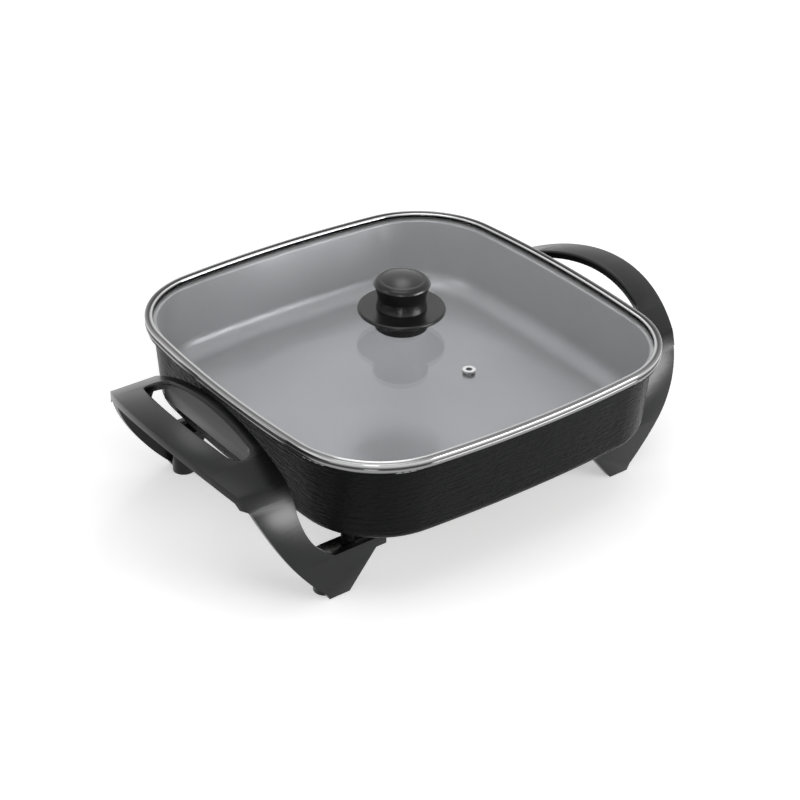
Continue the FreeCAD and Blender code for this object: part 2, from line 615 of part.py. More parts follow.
def arch(sketch, inset, bottom):
    """Side view of a handle: an arched grip that bends down into two legs.
    The outline lies inset millimetres inside the handle's outer face."""
    grip = size("grip_arch_radius - " + inset)
    grip_z = size("grip_top_height - grip_arch_radius")
    leg = size("leg_arc_radius - " + inset)
    leg_y, leg_z = size("leg_span - leg_arc_radius"), size("leg_straight_height")
    gap = math.hypot(leg_y, leg_z - grip_z)
    along = (gap ** 2 + grip ** 2 - leg ** 2) / (2 * gap)
    aside = math.sqrt(grip ** 2 - along ** 2)
    unit = Vector(leg_y, leg_z - grip_z, 0) / gap
    meet = Vector(0, grip_z, 0) + unit * along + Vector(unit.y, -unit.x, 0) * aside
    up = Vector(0, 0, 1)
    start = math.atan2(meet.y - grip_z, meet.x)
    grip_arc = sketch.addGeometry(Part.ArcOfCircle(
        Part.Circle(Vector(0, grip_z, 0), up, grip), start, math.pi - start), False)
    lean = math.atan2(meet.y - leg_z, meet.x - leg_y)
    right_arc = sketch.addGeometry(Part.ArcOfCircle(
        Part.Circle(Vector(leg_y, leg_z, 0), up, leg), 0, lean), False)
    left_arc = sketch.addGeometry(Part.ArcOfCircle(
        Part.Circle(Vector(-leg_y, leg_z, 0), up, leg), math.pi - lean, math.pi), False)
    face, floor = size("leg_span - " + inset), size(bottom)
    right_line = sketch.addGeometry(Part.LineSegment(Vector(face, floor, 0), Vector(face, leg_z, 0)), False)
    left_line = sketch.addGeometry(Part.LineSegment(Vector(-face, leg_z, 0), Vector(-face, floor, 0)), False)
    base = sketch.addGeometry(Part.LineSegment(Vector(-face, floor, 0), Vector(face, floor, 0)), False)
    for first, first_end, second, second_end in (
            (right_line, 2, right_arc, 1), (right_arc, 2, grip_arc, 1), (grip_arc, 2, left_arc, 1),
            (left_arc, 2, left_line, 1), (left_line, 2, base, 1), (base, 2, right_line, 1)):
        sketch.addConstraint(Sketcher.Constraint("Coincident", first, first_end, second, second_end))
    pin_point(sketch, grip_arc, 3, "0", "grip_top_height - grip_arch_radius")
    pin_point(sketch, right_arc, 3, "leg_span - leg_arc_radius", "leg_straight_height")
    pin_point(sketch, left_arc, 3, "leg_arc_radius - leg_span", "leg_straight_height")
    number = sketch.addConstraint(Sketcher.Constraint("Radius", grip_arc, grip))
    bind(sketch, "Constraints[%d]" % number, "grip_arch_radius - " + inset)
    pin_point(sketch, right_line, 2, "leg_span - " + inset, "leg_straight_height")
    pin_point(sketch, left_line, 1, inset + " - leg_span", "leg_straight_height")
    pin_point(sketch, base, 2, "leg_span - " + inset, bottom)
    pin_point(sketch, base, 1, inset + " - leg_span", bottom)
    return sketch


def on_outer_face(edge):
    """Whether an edge lies in the outer face of a handle, seen from the side."""
    grip, leg = size("grip_arch_radius"), size("leg_arc_radius")
    grip_z, leg_z = size("grip_top_height - grip_arch_radius"), size("leg_straight_height")
    leg_y, face, bend = size("leg_span - leg_arc_radius"), size("leg_span"), size("bend_radius")
    for share in (0.1, 0.5, 0.9):
        first, last = edge.ParameterRange
        point = edge.valueAt(first + (last - first) * share)
        from_grip = grip - math.hypot(point.y, point.z - grip_z)
        from_leg = leg - math.hypot(abs(point.y) - leg_y, point.z - leg_z)
        if point.z < leg_z:
            from_leg = face - abs(point.y)
        near = min(from_grip, from_leg)
        if near > 0.02 and not (from_grip < bend / 3 and from_leg < bend / 3):
            return False
    return True


def handle(label):
    """One moulded handle on the +X side: grip, heat shield, two legs, shelves and foot bosses."""
    body = new_body(label)
    sketch = arch(new_sketch(body, label + "_side", "YZ_Plane", "arm_reach"), "0 * handle_skin",
                  "leg_toe_height")
    pad(body, label + "_loaf", sketch, "grip_outer_reach - arm_reach")

    # The bend between grip and leg, on the outside.
    round_edges(body, label + "_bend", "bend_radius",
                lambda e: e.BoundBox.YLength < 0.01 and e.BoundBox.ZLength < 0.01
                and e.BoundBox.ZMin > size("leg_straight_height") + 0.01)
    sketch = arch(new_sketch(body, label + "_inside", "YZ_Plane", "arm_reach"), "handle_skin",
                  "-leg_toe_height")
    pocket_through(body, label + "_hollow", sketch)

    # Bowed outer edge of the grip, seen from above.
    sketch = outline(new_sketch(body, label + "_plan", "XY_Plane"), [
        ("leg_top_reach", "-bend_length", "grip_plan_radius", "left"),
        ("leg_top_reach", "bend_length"),
        ("leg_top_reach", "leg_span + %g" % BIG),
        ("grip_outer_reach + %g" % BIG, "leg_span + %g" % BIG),
        ("grip_outer_reach + %g" % BIG, "-leg_span - %g" % BIG),
        ("leg_top_reach", "-leg_span - %g" % BIG),
    ])
    pocket_through(body, label + "_plan_cut", sketch)

    # Outer edge of the legs, seen from the front. The sketch's x is the object's +X.
    sketch = outline(new_sketch(body, label + "_front", "XZ_Plane"), [
        ("leg_top_reach", "leg_top_height", "leg_sweep_radius", "right"),
        ("leg_heel_reach", "leg_heel_height"),
        ("leg_toe_outer", "leg_toe_height"),
        ("leg_toe_outer", "leg_toe_height - %g" % BIG),
        ("grip_outer_reach + %g" % BIG, "leg_toe_height - %g" % BIG),
        ("grip_outer_reach + %g" % BIG, "leg_top_height"),
    ])
    pocket_through(body, label + "_front_cut", sketch)

    # Inner edge of the legs and the top of their inward arms.
    sketch = outline(new_sketch(body, label + "_notch", "XZ_Plane"), [
        ("grip_inner_reach", "grip_top_height + %g" % BIG),
        ("arm_reach - %g" % BIG, "grip_top_height + %g" % BIG),
        ("arm_reach - %g" % BIG, "notch_height"),
        ("notch_reach", "notch_height", "notch_radius", "left"),
        ("grip_inner_reach", "notch_top_height"),
    ])
    pocket_through(body, label + "_notch_cut", sketch)

    # Slanting lower edge of the arms, down to the inside of the foot.
    sketch = outline(new_sketch(body, label + "_under", "XZ_Plane"), [
        ("leg_toe_inner", "leg_toe_height"),
        ("arm_lower_reach", "arm_lower_height"),
        ("arm_reach - %g" % BIG, "arm_lower_height"),
        ("arm_reach - %g" % BIG, "leg_toe_height - %g" % BIG),
        ("leg_toe_inner", "leg_toe_height - %g" % BIG),
    ])
    pocket_through(body, label + "_under_cut", sketch)

    # Finger slot through the grip.
    slot_radius = "(grip_plan_radius - grip_bar)"
    slot_end = "slot_outer_reach - %s + sqrt(%s ^ 2 - slot_half_length ^ 2)" % (slot_radius, slot_radius)
    sketch = outline(new_sketch(body, label + "_slot", "XY_Plane"), [
        ("slot_inner_reach", "-slot_half_length"),
        (slot_end, "-slot_half_length", slot_radius, "left"),
        (slot_end, "slot_half_length"),
        ("slot_inner_reach", "slot_half_length"),
    ])
    pocket_through(body, label + "_slot_cut", sketch)
    half = size("slot_half_length")
    round_edges(body, label + "_slot_round", "slot_corner",
                lambda e: e.BoundBox.XLength < 0.01 and e.BoundBox.YLength < 0.01
                and abs(abs(e.BoundBox.YMin) - half) < 0.01)

    # Soft edges round the finger slot.
    round_edges(body, label + "_slot_edge", "slot_edge_round",
                lambda e: on_outer_face(e) and e.BoundBox.XMin > size("slot_inner_reach") - 0.01
                and e.BoundBox.XMax < size("slot_outer_reach") + 0.01
                and max(abs(e.BoundBox.YMin), abs(e.BoundBox.YMax)) < half + 0.01)

    # Heat shield wall between the fingers and the pan. Its arched top lies inside the grip.
    arch_middle = "(grip_arch_radius - handle_skin / 2)"
    shield_end = "grip_top_height - grip_arch_radius + sqrt(%s ^ 2 - shield_half_length ^ 2)" % arch_middle
    sketch = outline(new_sketch(body, label + "_shield", "YZ_Plane", "slot_inner_reach"), [
        ("-shield_half_length", "grip_top_height - shield_depth"),
        ("shield_half_length", "grip_top_height - shield_depth"),
        ("shield_half_length", shield_end, arch_middle, "left"),
        ("-shield_half_length", shield_end),
    ])
    pad(body, label + "_shield_pad", sketch, "shield_skin", down=True)

    # Shelf and round foot boss behind each leg.
    for number, end in enumerate((-1, 1)):
        outer = "%d * (leg_span - handle_skin / 2)" % end
        sketch = outline(new_sketch(body, "%s_shelf_%d" % (label, number), "XY_Plane", "shelf_height"), [
            ("arm_reach", outer),
            ("notch_reach", outer),
            ("notch_reach", "%d * (leg_span - shelf_depth)" % end),
            ("arm_reach", "%d * (leg_span - shelf_depth)" % end),
        ])
        pad(body, "%s_shelf_pad_%d" % (label, number), sketch, "shelf_thickness", down=True)
        sketch = new_sketch(body, "%s_boss_%d" % (label, number), "XY_Plane", "leg_toe_height")
        add_circle(sketch, "foot_reach", "%d * foot_span" % end, "foot_radius")
        pad(body, "%s_boss_pad_%d" % (label, number), sketch,
            "shelf_height - shelf_thickness / 2 - leg_toe_height")

    # Holes: one through each shelf for its screw, one in each foot boss for a stem.
    screw_sketch = new_sketch(body, label + "_screw_holes", "XY_Plane", "shelf_height")
    stem_sketch = new_sketch(body, label + "_stem_holes", "XY_Plane", "leg_toe_height")
    for end in (-1, 1):
        add_circle(screw_sketch, "post_reach", "%d * post_span" % end, "screw_radius + screw_gap")
        add_circle(stem_sketch, "foot_reach", "%d * foot_span" % end, "foot_stem_radius + foot_gap")
    pocket(body, label + "_screw_cut", screw_sketch, "shelf_thickness")
    pocket(body, label + "_stem_cut", stem_sketch, "foot_stem_height + foot_gap", up=True)
    return body


right = handle("right_handle")
keep("right_handle", right)
left = handle("left_handle")
left.Placement = FreeCAD.Placement(Vector(0, 0, 0), FreeCAD.Rotation(Vector(0, 0, 1), 180))
keep("left_handle", left)


def foot(label):
    """Rubber foot with a stem that plugs into the leg. Its half section is turned."""
    body = new_body(label)
    sketch = outline(new_sketch(body, label + "_section", "XZ_Plane"), [
        ("0", "0"),
        ("foot_radius - foot_round", "0", "foot_round", "left"),
        ("foot_radius", "foot_round"),
        ("foot_radius", "leg_toe_height"),
        ("foot_stem_radius", "leg_toe_height"),
        ("foot_stem_radius", "leg_toe_height + foot_stem_height"),
        ("0", "leg_toe_height + foot_stem_height"),
    ])
    revolve(body, label + "_turned", sketch)
    return body


for place_name, side, end in CORNERS:
    label = place_name + "_foot"
    keep(label, place(foot(label), "%d * foot_reach" % side, "%d * foot_span" % end, "0"))

# Screws that hold the handles: each goes up through a shelf into a post of the pan.
screws = []
washers = []
SHELF_UNDER = "(shelf_height - shelf_thickness)"
for place_name, side, end in CORNERS:
    x = "%d * post_reach" % side
    y = "%d * post_span" % end
    head_top = SHELF_UNDER + " - screw_washer_thickness"
    shank = cylinder("handle_shank_" + place_name, "screw_radius",
                     "screw_depth + shelf_thickness + screw_washer_thickness", x, y, head_top)
    head = cylinder("handle_head_" + place_name, "screw_head_radius", "screw_head_height",
                    x, y, head_top + " - screw_head_height")
    screws.append(fuse("handle_screw_" + place_name, [shank, head]))
    ring = cylinder("handle_ring_" + place_name, "screw_washer_radius", "screw_washer_thickness",
                    x, y, head_top)
    hole = cylinder("handle_ring_hole_" + place_name, "screw_radius + screw_gap",
                    "screw_washer_thickness", x, y, head_top)
    washers.append(cut("handle_washer_" + place_name, ring, hole))
keep("handle_screws", group("handle_screws", screws))
keep("handle_washers", group("handle_washers", washers))

# Lid: a flat glass pane in a rolled steel band, laid on the pan's rim.
BAND_LOW = "pan_rim_height + lid_seat_gap"
GLASS_LOW = BAND_LOW + " + band_floor + band_gap"
GLASS_TOP = GLASS_LOW + " + glass_thickness"
body = new_body("lid_band")
whole = rounded_square(new_sketch(body, "band_outside", "XY_Plane", BAND_LOW),
                       "lid_half", "lid_side_radius", "lid_corner")
pad(body, "band_block", whole, "band_height")
opening = rounded_square(new_sketch(body, "band_opening", "XY_Plane", BAND_LOW + " + band_height"),
                         "lid_half - band_width", "lid_side_radius - band_width",
                         "lid_corner - band_width")
pocket(body, "band_ring", opening, "band_height")
top = size(BAND_LOW + " + band_height")
round_edges(body, "band_bead", "band_round", lambda e: flat_at(e, top))
groove_outline = rounded_square(new_sketch(body, "band_groove", "XY_Plane", GLASS_TOP + " + band_gap"),
                                "lid_half - band_skin", "lid_side_radius - band_skin",
                                "lid_corner - band_skin")
pocket(body, "band_channel", groove_outline, "glass_thickness + 2 * band_gap")
keep("lid_band", body)

body = new_body("lid_glass")
inset = "(band_skin + band_gap)"
pane = rounded_square(new_sketch(body, "glass_outline", "XY_Plane", GLASS_LOW),
                      "lid_half - " + inset, "lid_side_radius - " + inset, "lid_corner - " + inset)
pad(body, "glass_pane", pane, "glass_thickness")
sketch = new_sketch(body, "glass_holes", "XY_Plane", GLASS_TOP)
add_circle(sketch, "0", "0", "stud_radius + stud_gap")
add_circle(sketch, "0", "-vent_distance", "vent_tube_radius + vent_gap")
pocket(body, "glass_drilled", sketch, "glass_thickness")
keep("lid_glass", body)


def ring(label, outer, inner, height, z):
    disc = cylinder(label + "_disc", outer, height, "0", "0", z)
    hole = cylinder(label + "_hole", inner, height, "0", "0", z)
    return cut(label, disc, hole)


STUD_HOLE = "stud_radius + stud_gap"
keep("upper_seal", ring("upper_seal", "seal_radius", STUD_HOLE, "seal_thickness", GLASS_TOP))
keep("lower_seal", ring("lower_seal", "lower_seal_radius", STUD_HOLE, "seal_thickness",
                        GLASS_LOW + " - seal_thickness"))
WASHER_LOW = GLASS_LOW + " - seal_thickness - washer_thickness"
keep("knob_washer", ring("knob_washer", "washer_radius", STUD_HOLE, "washer_thickness", WASHER_LOW))

# Finger guard: a collar with a wide disc on top, which keeps fingers off the glass.
COLLAR_LOW = GLASS_TOP + " + seal_thickness"
DISC_LOW = COLLAR_LOW + " + collar_height"
DISC_TOP = DISC_LOW + " + guard_thickness"
body = new_body("finger_guard")
sketch = outline(new_sketch(body, "guard_section", "XZ_Plane"), [
    (STUD_HOLE, COLLAR_LOW),
    ("collar_radius", COLLAR_LOW),
    ("collar_radius", DISC_LOW),
    ("guard_radius - guard_round", DISC_LOW, "guard_round", "left"),
    ("guard_radius", DISC_LOW + " + guard_round"),
    ("guard_radius", DISC_TOP + " - guard_round", "guard_round", "left"),
    ("guard_radius - guard_round", DISC_TOP),
    ("spigot_radius + spigot_gap", DISC_TOP),
    ("spigot_radius + spigot_gap", DISC_TOP + " - spigot_height - spigot_gap"),
    (STUD_HOLE, DISC_TOP + " - spigot_height - spigot_gap"),
])
revolve(body, "guard_turned", sketch)
keep("finger_guard", body)

# Knob: a waisted mushroom with a peg below and a threaded hole for the screw.
SHOULDER = "knob_height - knob_crown + sqrt(knob_crown ^ 2 - knob_shoulder_radius ^ 2)"
body = new_body("lid_knob")
sketch = outline(new_sketch(body, "knob_section", "XZ_Plane"), [
    ("stud_radius", DISC_TOP + " - spigot_height"),
    ("spigot_radius", DISC_TOP + " - spigot_height"),
    ("spigot_radius", DISC_TOP),
    ("knob_foot_radius", DISC_TOP),
    ("knob_foot_radius", DISC_TOP + " + knob_foot_height", "knob_waist_curve", "right"),
    ("knob_waist_radius", DISC_TOP + " + knob_waist_height", "knob_flare_curve", "right"),
    ("knob_top_radius", DISC_TOP + " + knob_widest_height", "knob_edge_curve", "left"),
    ("knob_shoulder_radius", "%s + %s" % (DISC_TOP, SHOULDER), "knob_crown", "left"),
    ("0", DISC_TOP + " + knob_height"),
    ("0", DISC_TOP + " - spigot_height + stud_depth"),
    ("stud_radius", DISC_TOP + " - spigot_height + stud_depth"),
])
revolve(body, "knob_turned", sketch)
keep("lid_knob", body)

# Knob screw, up through washer, seals, glass and guard.
shank = cylinder("knob_shank", "stud_radius - band_gap",
                 "stud_depth - spigot_height + guard_thickness + collar_height + 2 * seal_thickness"
                 " + glass_thickness + washer_thickness - spigot_gap", "0", "0", WASHER_LOW)
head = cylinder("knob_screw_head", "stud_head_radius", "stud_head_height", "0", "0",
                WASHER_LOW + " - stud_head_height")
keep("knob_screw", fuse("knob_screw", [shank, head]))

# Steam vent: an eyelet through the glass, held by a ring below.
body = new_body("steam_vent")
sketch = outline(new_sketch(body, "vent_section", "XZ_Plane"), [
    ("vent_bore_radius", GLASS_LOW + " - vent_flange_height"),
    ("vent_tube_radius", GLASS_LOW + " - vent_flange_height"),
    ("vent_tube_radius", GLASS_TOP),
    ("vent_flange_radius", GLASS_TOP),
    ("vent_flange_radius", GLASS_TOP + " + vent_flange_height"),
    ("vent_bore_radius", GLASS_TOP + " + vent_flange_height"),
])
revolve(body, "vent_turned", sketch)
keep("steam_vent", place(body, "0", "-vent_distance", "0"))
disc = cylinder("vent_ring_disc", "vent_flange_radius", "vent_flange_height", "0", "-vent_distance",
                GLASS_LOW + " - vent_flange_height")
hole = cylinder("vent_ring_hole", "vent_tube_radius + band_gap", "vent_flange_height",
                "0", "-vent_distance", GLASS_LOW + " - vent_flange_height")
keep("vent_ring", cut("vent_ring", disc, hole))

doc.recompute()
for obj in doc.Objects:
    if "Invalid" in obj.State or "Error" in obj.State:
        raise RuntimeError("%s failed: %s" % (obj.Label, obj.State))
for label, obj in nodes.items():
    shape = obj.Shape
    if shape.isNull() or not shape.isValid():
        raise RuntimeError("%s has no valid shape" % label)
    reach = shape.BoundBox
    print("%-20s solids %d volume %9.0f x %6.1f %6.1f y %6.1f %6.1f z %6.1f %6.1f" % (
        label, len(shape.Solids), shape.Volume, reach.XMin, reach.XMax, reach.YMin, reach.YMax,
        reach.ZMin, reach.ZMax))
for label, obj in nodes.items():
    obj.Shape.exportStep("parts/%s.step" % label)
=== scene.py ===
# %% [markdown]
# # An electric skillet, dressed in Blender
#
# The part is a cast pan with a grey non-stick inside, carried by two black moulded
# handles, with a flat glass lid in a polished steel band. Its shape was drawn in CAD,
# and that model is loaded here as a frame. Each cell below makes one piece or one
# finish, and says what the real thing is and why it is made this way.

# %% Load the frame
import math

import bmesh
import bpy
from mathutils import Matrix, Vector


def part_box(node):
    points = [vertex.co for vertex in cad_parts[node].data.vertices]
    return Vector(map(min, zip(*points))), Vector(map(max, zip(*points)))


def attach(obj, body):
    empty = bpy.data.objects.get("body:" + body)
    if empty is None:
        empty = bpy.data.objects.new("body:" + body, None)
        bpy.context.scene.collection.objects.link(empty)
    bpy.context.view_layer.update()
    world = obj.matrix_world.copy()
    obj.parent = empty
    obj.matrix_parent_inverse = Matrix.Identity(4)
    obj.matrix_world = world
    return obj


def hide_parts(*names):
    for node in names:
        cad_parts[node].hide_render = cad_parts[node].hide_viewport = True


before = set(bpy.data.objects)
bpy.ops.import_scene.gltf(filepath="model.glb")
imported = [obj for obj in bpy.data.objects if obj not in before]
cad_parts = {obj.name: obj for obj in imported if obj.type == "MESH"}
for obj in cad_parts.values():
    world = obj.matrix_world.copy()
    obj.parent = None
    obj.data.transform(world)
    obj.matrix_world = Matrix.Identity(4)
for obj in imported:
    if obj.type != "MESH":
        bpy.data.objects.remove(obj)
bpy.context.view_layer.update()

# %% [markdown]
# ## The camera
#
# The photograph was taken from the front left and above. The camera's place, turn and
# lens were fitted to the lid's outline, so the matrix is written out here from three
# angles and a distance. A long lens is right for a product shot: it keeps the far side
# of the lid nearly as wide as the near side.

# %% Camera
CAMERA_TURN = math.radians(-37.75)
CAMERA_RISE = math.radians(31.44)
CAMERA_ROLL = math.radians(1.21)
CAMERA_TARGET = Vector((-0.0617, -0.0801, 0.1204))
CAMERA_DISTANCE = 1.3

back = Vector((math.sin(CAMERA_TURN) * math.cos(CAMERA_RISE),
               -math.cos(CAMERA_TURN) * math.cos(CAMERA_RISE), math.sin(CAMERA_RISE)))
level = Vector((math.cos(CAMERA_TURN), math.sin(CAMERA_TURN), 0))
rise = back.cross(level)
right = math.cos(CAMERA_ROLL) * level + math.sin(CAMERA_ROLL) * rise
up = -math.sin(CAMERA_ROLL) * level + math.cos(CAMERA_ROLL) * rise

lens = bpy.data.cameras.new("product_camera")
lens.sensor_width = 36.0
lens.lens = 87.5
camera = bpy.data.objects.new("product_camera", lens)
turned = Matrix((right, up, back)).transposed().to_4x4()
camera.matrix_world = Matrix.Translation(CAMERA_TARGET + CAMERA_DISTANCE * back) @ turned
bpy.context.scene.collection.objects.link(camera)
bpy.context.scene.camera = camera
print("camera at", [round(value, 3) for value in camera.matrix_world.translation])

# %% [markdown]
# ## Floor, sky and lamps
#
# A product shot on white has soft light from all round. The floor and the sky look white
# to the camera, to reflections and through glass, by way of the Light Path node, while
# the light that they throw on the object stays at a plain level. A stronger white world
# would also give a white background, but it would flood the black plastic with light.

# %% A small helper that adds a node
def node(tree, kind, x, y, **values):
    """Add a node at a place in the editor and set its named input sockets."""
    made = tree.nodes.new(kind)
    made.location = (x, y)
    for name, value in values.items():
        made.inputs[name.replace("_", " ")].default_value = value
    return made


print("helper:", node.__name__)

# %% [markdown]
# ### White rays
#
# A ray that comes straight from the camera, or by way of gloss or glass, should meet a
# white background. Light that falls on the object should be weaker. The Light Path node
# tells these rays apart, and two Math nodes join its answers.

# %% White for camera, glossy and transmission rays
def white_rays(tree, x, y):
    """1 for rays that should meet a white background, and 0 for light on the object."""
    path = node(tree, "ShaderNodeLightPath", x, y)
    seen = node(tree, "ShaderNodeMath", x + 200, y)
    seen.operation = "MAXIMUM"
    tree.links.new(path.outputs["Is Camera Ray"], seen.inputs[0])
    tree.links.new(path.outputs["Is Glossy Ray"], seen.inputs[1])
    both = node(tree, "ShaderNodeMath", x + 400, y)
    both.operation = "MAXIMUM"
    tree.links.new(seen.outputs[0], both.inputs[0])
    tree.links.new(path.outputs["Is Transmission Ray"], both.inputs[1])
    return both.outputs[0]


print("helper:", white_rays.__name__)

# %% [markdown]
# ### Sky
#
# The sky is one white Background. Its strength is 1 for the rays that should see white,
# and SKY_LIGHT for the light that falls on the object. A picture of a studio could stand
# here instead, but a plain sky gives the same even fill from every side.

# %% World
SKY_LIGHT = 0.38
world = bpy.data.worlds.new("studio")
bpy.context.scene.world = world
world.use_nodes = True
tree = world.node_tree
tree.nodes.clear()
sky = node(tree, "ShaderNodeBackground", 600, 0, Color=(1, 1, 1, 1))
strength = node(tree, "ShaderNodeMapRange", 400, -200, To_Min=SKY_LIGHT, To_Max=1.0)
tree.links.new(white_rays(tree, -300, -200), strength.inputs["Value"])
tree.links.new(strength.outputs["Result"], sky.inputs["Strength"])
out = node(tree, "ShaderNodeOutputWorld", 800, 0)
tree.links.new(sky.outputs[0], out.inputs["Surface"])
print("sky light", SKY_LIGHT)

# %% [markdown]
# ### Floor
#
# The skillet stands on one large sheet of white paper. The sheet lies a hair below the
# feet, so that no two faces share a plane there.

# %% Floor
FLOOR_HALF = 6.0
FLOOR_DROP = 0.0002
floor_mesh = bpy.data.meshes.new("floor")
floor_corners = [(x * FLOOR_HALF, y * FLOOR_HALF, 0)
                 for x, y in ((-1, -1), (1, -1), (1, 1), (-1, 1))]
floor_mesh.from_pydata(floor_corners, [], [(0, 1, 2, 3)])
floor = bpy.data.objects.new("floor", floor_mesh)
floor.location.z = -FLOOR_DROP
bpy.context.scene.collection.objects.link(floor)
print("floor:", 2 * FLOOR_HALF, "metres wide")

# %% [markdown]
# ### White paper
#
# The paper glows a little for the rays that should see white, so it meets the sky without
# an edge and still holds the object's shadow. Farther out, where the lamps no longer
# reach it, it glows more, so that it stays white. White paint alone would turn grey there.

# %% White paper
PAPER_TONE = 0.87
FLOOR_GLOW = 0.42
FAR_GLOW = 0.75
GLOW_STARTS, GLOW_ENDS = 0.8, 2.0
paper = bpy.data.materials.new("white_paper")
paper.use_nodes = True
tree = paper.node_tree
shader = tree.nodes["Principled BSDF"]
shader.inputs["Base Color"].default_value = (PAPER_TONE, PAPER_TONE, PAPER_TONE, 1)
shader.inputs["Roughness"].default_value = 0.9
shader.inputs["Emission Color"].default_value = (1, 1, 1, 1)
glow = node(tree, "ShaderNodeMath", -200, -300)
glow.operation = "MULTIPLY"
ground = node(tree, "ShaderNodeTexCoord", -1000, -600)
away = node(tree, "ShaderNodeVectorMath", -800, -600)
away.operation = "LENGTH"
spread = node(tree, "ShaderNodeMapRange", -500, -600, From_Min=GLOW_STARTS,
              From_Max=GLOW_ENDS, To_Min=FLOOR_GLOW, To_Max=FAR_GLOW)
tree.links.new(ground.outputs["Object"], away.inputs[0])
tree.links.new(away.outputs["Value"], spread.inputs["Value"])
tree.links.new(spread.outputs["Result"], glow.inputs[1])
tree.links.new(white_rays(tree, -900, -300), glow.inputs[0])
tree.links.new(glow.outputs[0], shader.inputs["Emission Strength"])
floor_mesh.materials.append(paper)
print("floor glow near and far:", FLOOR_GLOW, FAR_GLOW)

# %% [markdown]
# ### Lamps
#
# Gloss shows what a surface mirrors, so a lamp stands where a face needs its streak.
# A low wide box at the front right lights the bends of both handles. A tall narrow one at
# the rear right stands straight across from the camera and gives the grey inside its
# sheen. It stands higher than the direction that the flat glass mirrors, or the lid would
# show it as a white patch. The other three fill in. The view transform is Standard, so
# that a colour renders about as it is written.

# %% Lamps
AIM = Vector((0, 0, 0.09))
LAMPS = [
    # name, place, width and height in metres, power in watts
    ("box_front_right", (0.98, -1.60, 0.34), 1.15, 0.50, 30.0),
    ("box_front_left", (-1.20, -1.30, 0.50), 0.40, 0.60, 5.0),
    ("box_rear_right", (0.89, 1.14, 1.74), 0.36, 0.80, 3.0),
    ("box_left", (-1.70, 0.50, 1.00), 0.70, 0.70, 3.0),
    ("ceiling", (-0.30, -0.20, 2.00), 1.40, 1.40, 11.0),
]
for name, spot, width, height, power in LAMPS:
    light = bpy.data.lights.new(name, "AREA")
    light.shape = "RECTANGLE"
    light.size = width
    light.size_y = height
    light.energy = power
    lamp = bpy.data.objects.new(name, light)
    facing = (AIM - Vector(spot)).to_track_quat("-Z", "Y").to_matrix().to_4x4()
    lamp.matrix_world = Matrix.Translation(spot) @ facing
    bpy.context.scene.collection.objects.link(lamp)
bpy.context.scene.view_settings.view_transform = "Standard"
print("lamps:", len(LAMPS))

# %% [markdown]
# ## Shared effects
#
# Three effects come back in many finishes, so each is a node group with named inputs:
# a fine grain that roughens a surface, a stretched grain for drawn metal and for the
# pan's streaks, and wear along edges. Groups give out only masks, values and normals. The
# shader itself stays in each material, where it is easy to find and change.

# %% A helper for groups
def new_group(name, inputs, outputs):
    """Empty shader group with its sockets. Inputs are (name, default)."""
    group = bpy.data.node_groups.new(name, "ShaderNodeTree")
    for label, default in inputs:
        socket = group.interface.new_socket(label, in_out="INPUT",
                                            socket_type="NodeSocketFloat")
        socket.default_value = default
    for label, kind in outputs:
        group.interface.new_socket(label, in_out="OUTPUT", socket_type=kind)
    first = node(group, "NodeGroupInput", -900, 0)
    last = node(group, "NodeGroupOutput", 900, 0)
    return group, first, last


print("helper:", new_group.__name__)

# %% [markdown]
# ### Fine grain
#
# Moulded plastic and enamel have a skin of tiny bumps, and no two places on them are
# quite as rough. One fine noise makes the bumps. One wide noise makes the rougher and
# smoother patches, and is given out once more to cloud the colour.

# %% Group: fine grain
grain, first, last = new_group(
    "fine_grain",
    [("Scale", 900.0), ("Depth", 0.00005), ("Rough Low", 0.3), ("Rough High", 0.45)],
    [("Roughness", "NodeSocketFloat"), ("Normal", "NodeSocketVector"),
     ("Cloud", "NodeSocketFloat")])
place = node(grain, "ShaderNodeTexCoord", -900, -200)
fine = node(grain, "ShaderNodeTexNoise", -500, 100, Detail=3.0, Roughness=0.6)
wide = node(grain, "ShaderNodeTexNoise", -500, -200, Scale=22.0, Detail=4.0, Roughness=0.55)
blend = node(grain, "ShaderNodeMapRange", 0, -200, From_Min=0.3, From_Max=0.7)
bump = node(grain, "ShaderNodeBump", 300, 100, Strength=1.0)
grain.links.new(place.outputs["Object"], fine.inputs["Vector"])
grain.links.new(place.outputs["Object"], wide.inputs["Vector"])
grain.links.new(first.outputs["Scale"], fine.inputs["Scale"])
grain.links.new(wide.outputs["Fac"], blend.inputs["Value"])
grain.links.new(first.outputs["Rough Low"], blend.inputs["To Min"])
grain.links.new(first.outputs["Rough High"], blend.inputs["To Max"])
grain.links.new(fine.outputs["Fac"], bump.inputs["Height"])
grain.links.new(first.outputs["Depth"], bump.inputs["Distance"])
grain.links.new(blend.outputs["Result"], last.inputs["Roughness"])
grain.links.new(bump.outputs["Normal"], last.inputs["Normal"])
grain.links.new(wide.outputs["Fac"], last.inputs["Cloud"])
print("group:", grain.name)

# %% [markdown]
# ### Stretched grain
#
# Drawn steel has lines along it, and the pan's skin has low ridges that run level. Both
# are one noise, whose coordinates are scaled far more along Z than along X and Y, so it
# looks drawn out level. A Wave Texture could make lines too, but they would be too even.

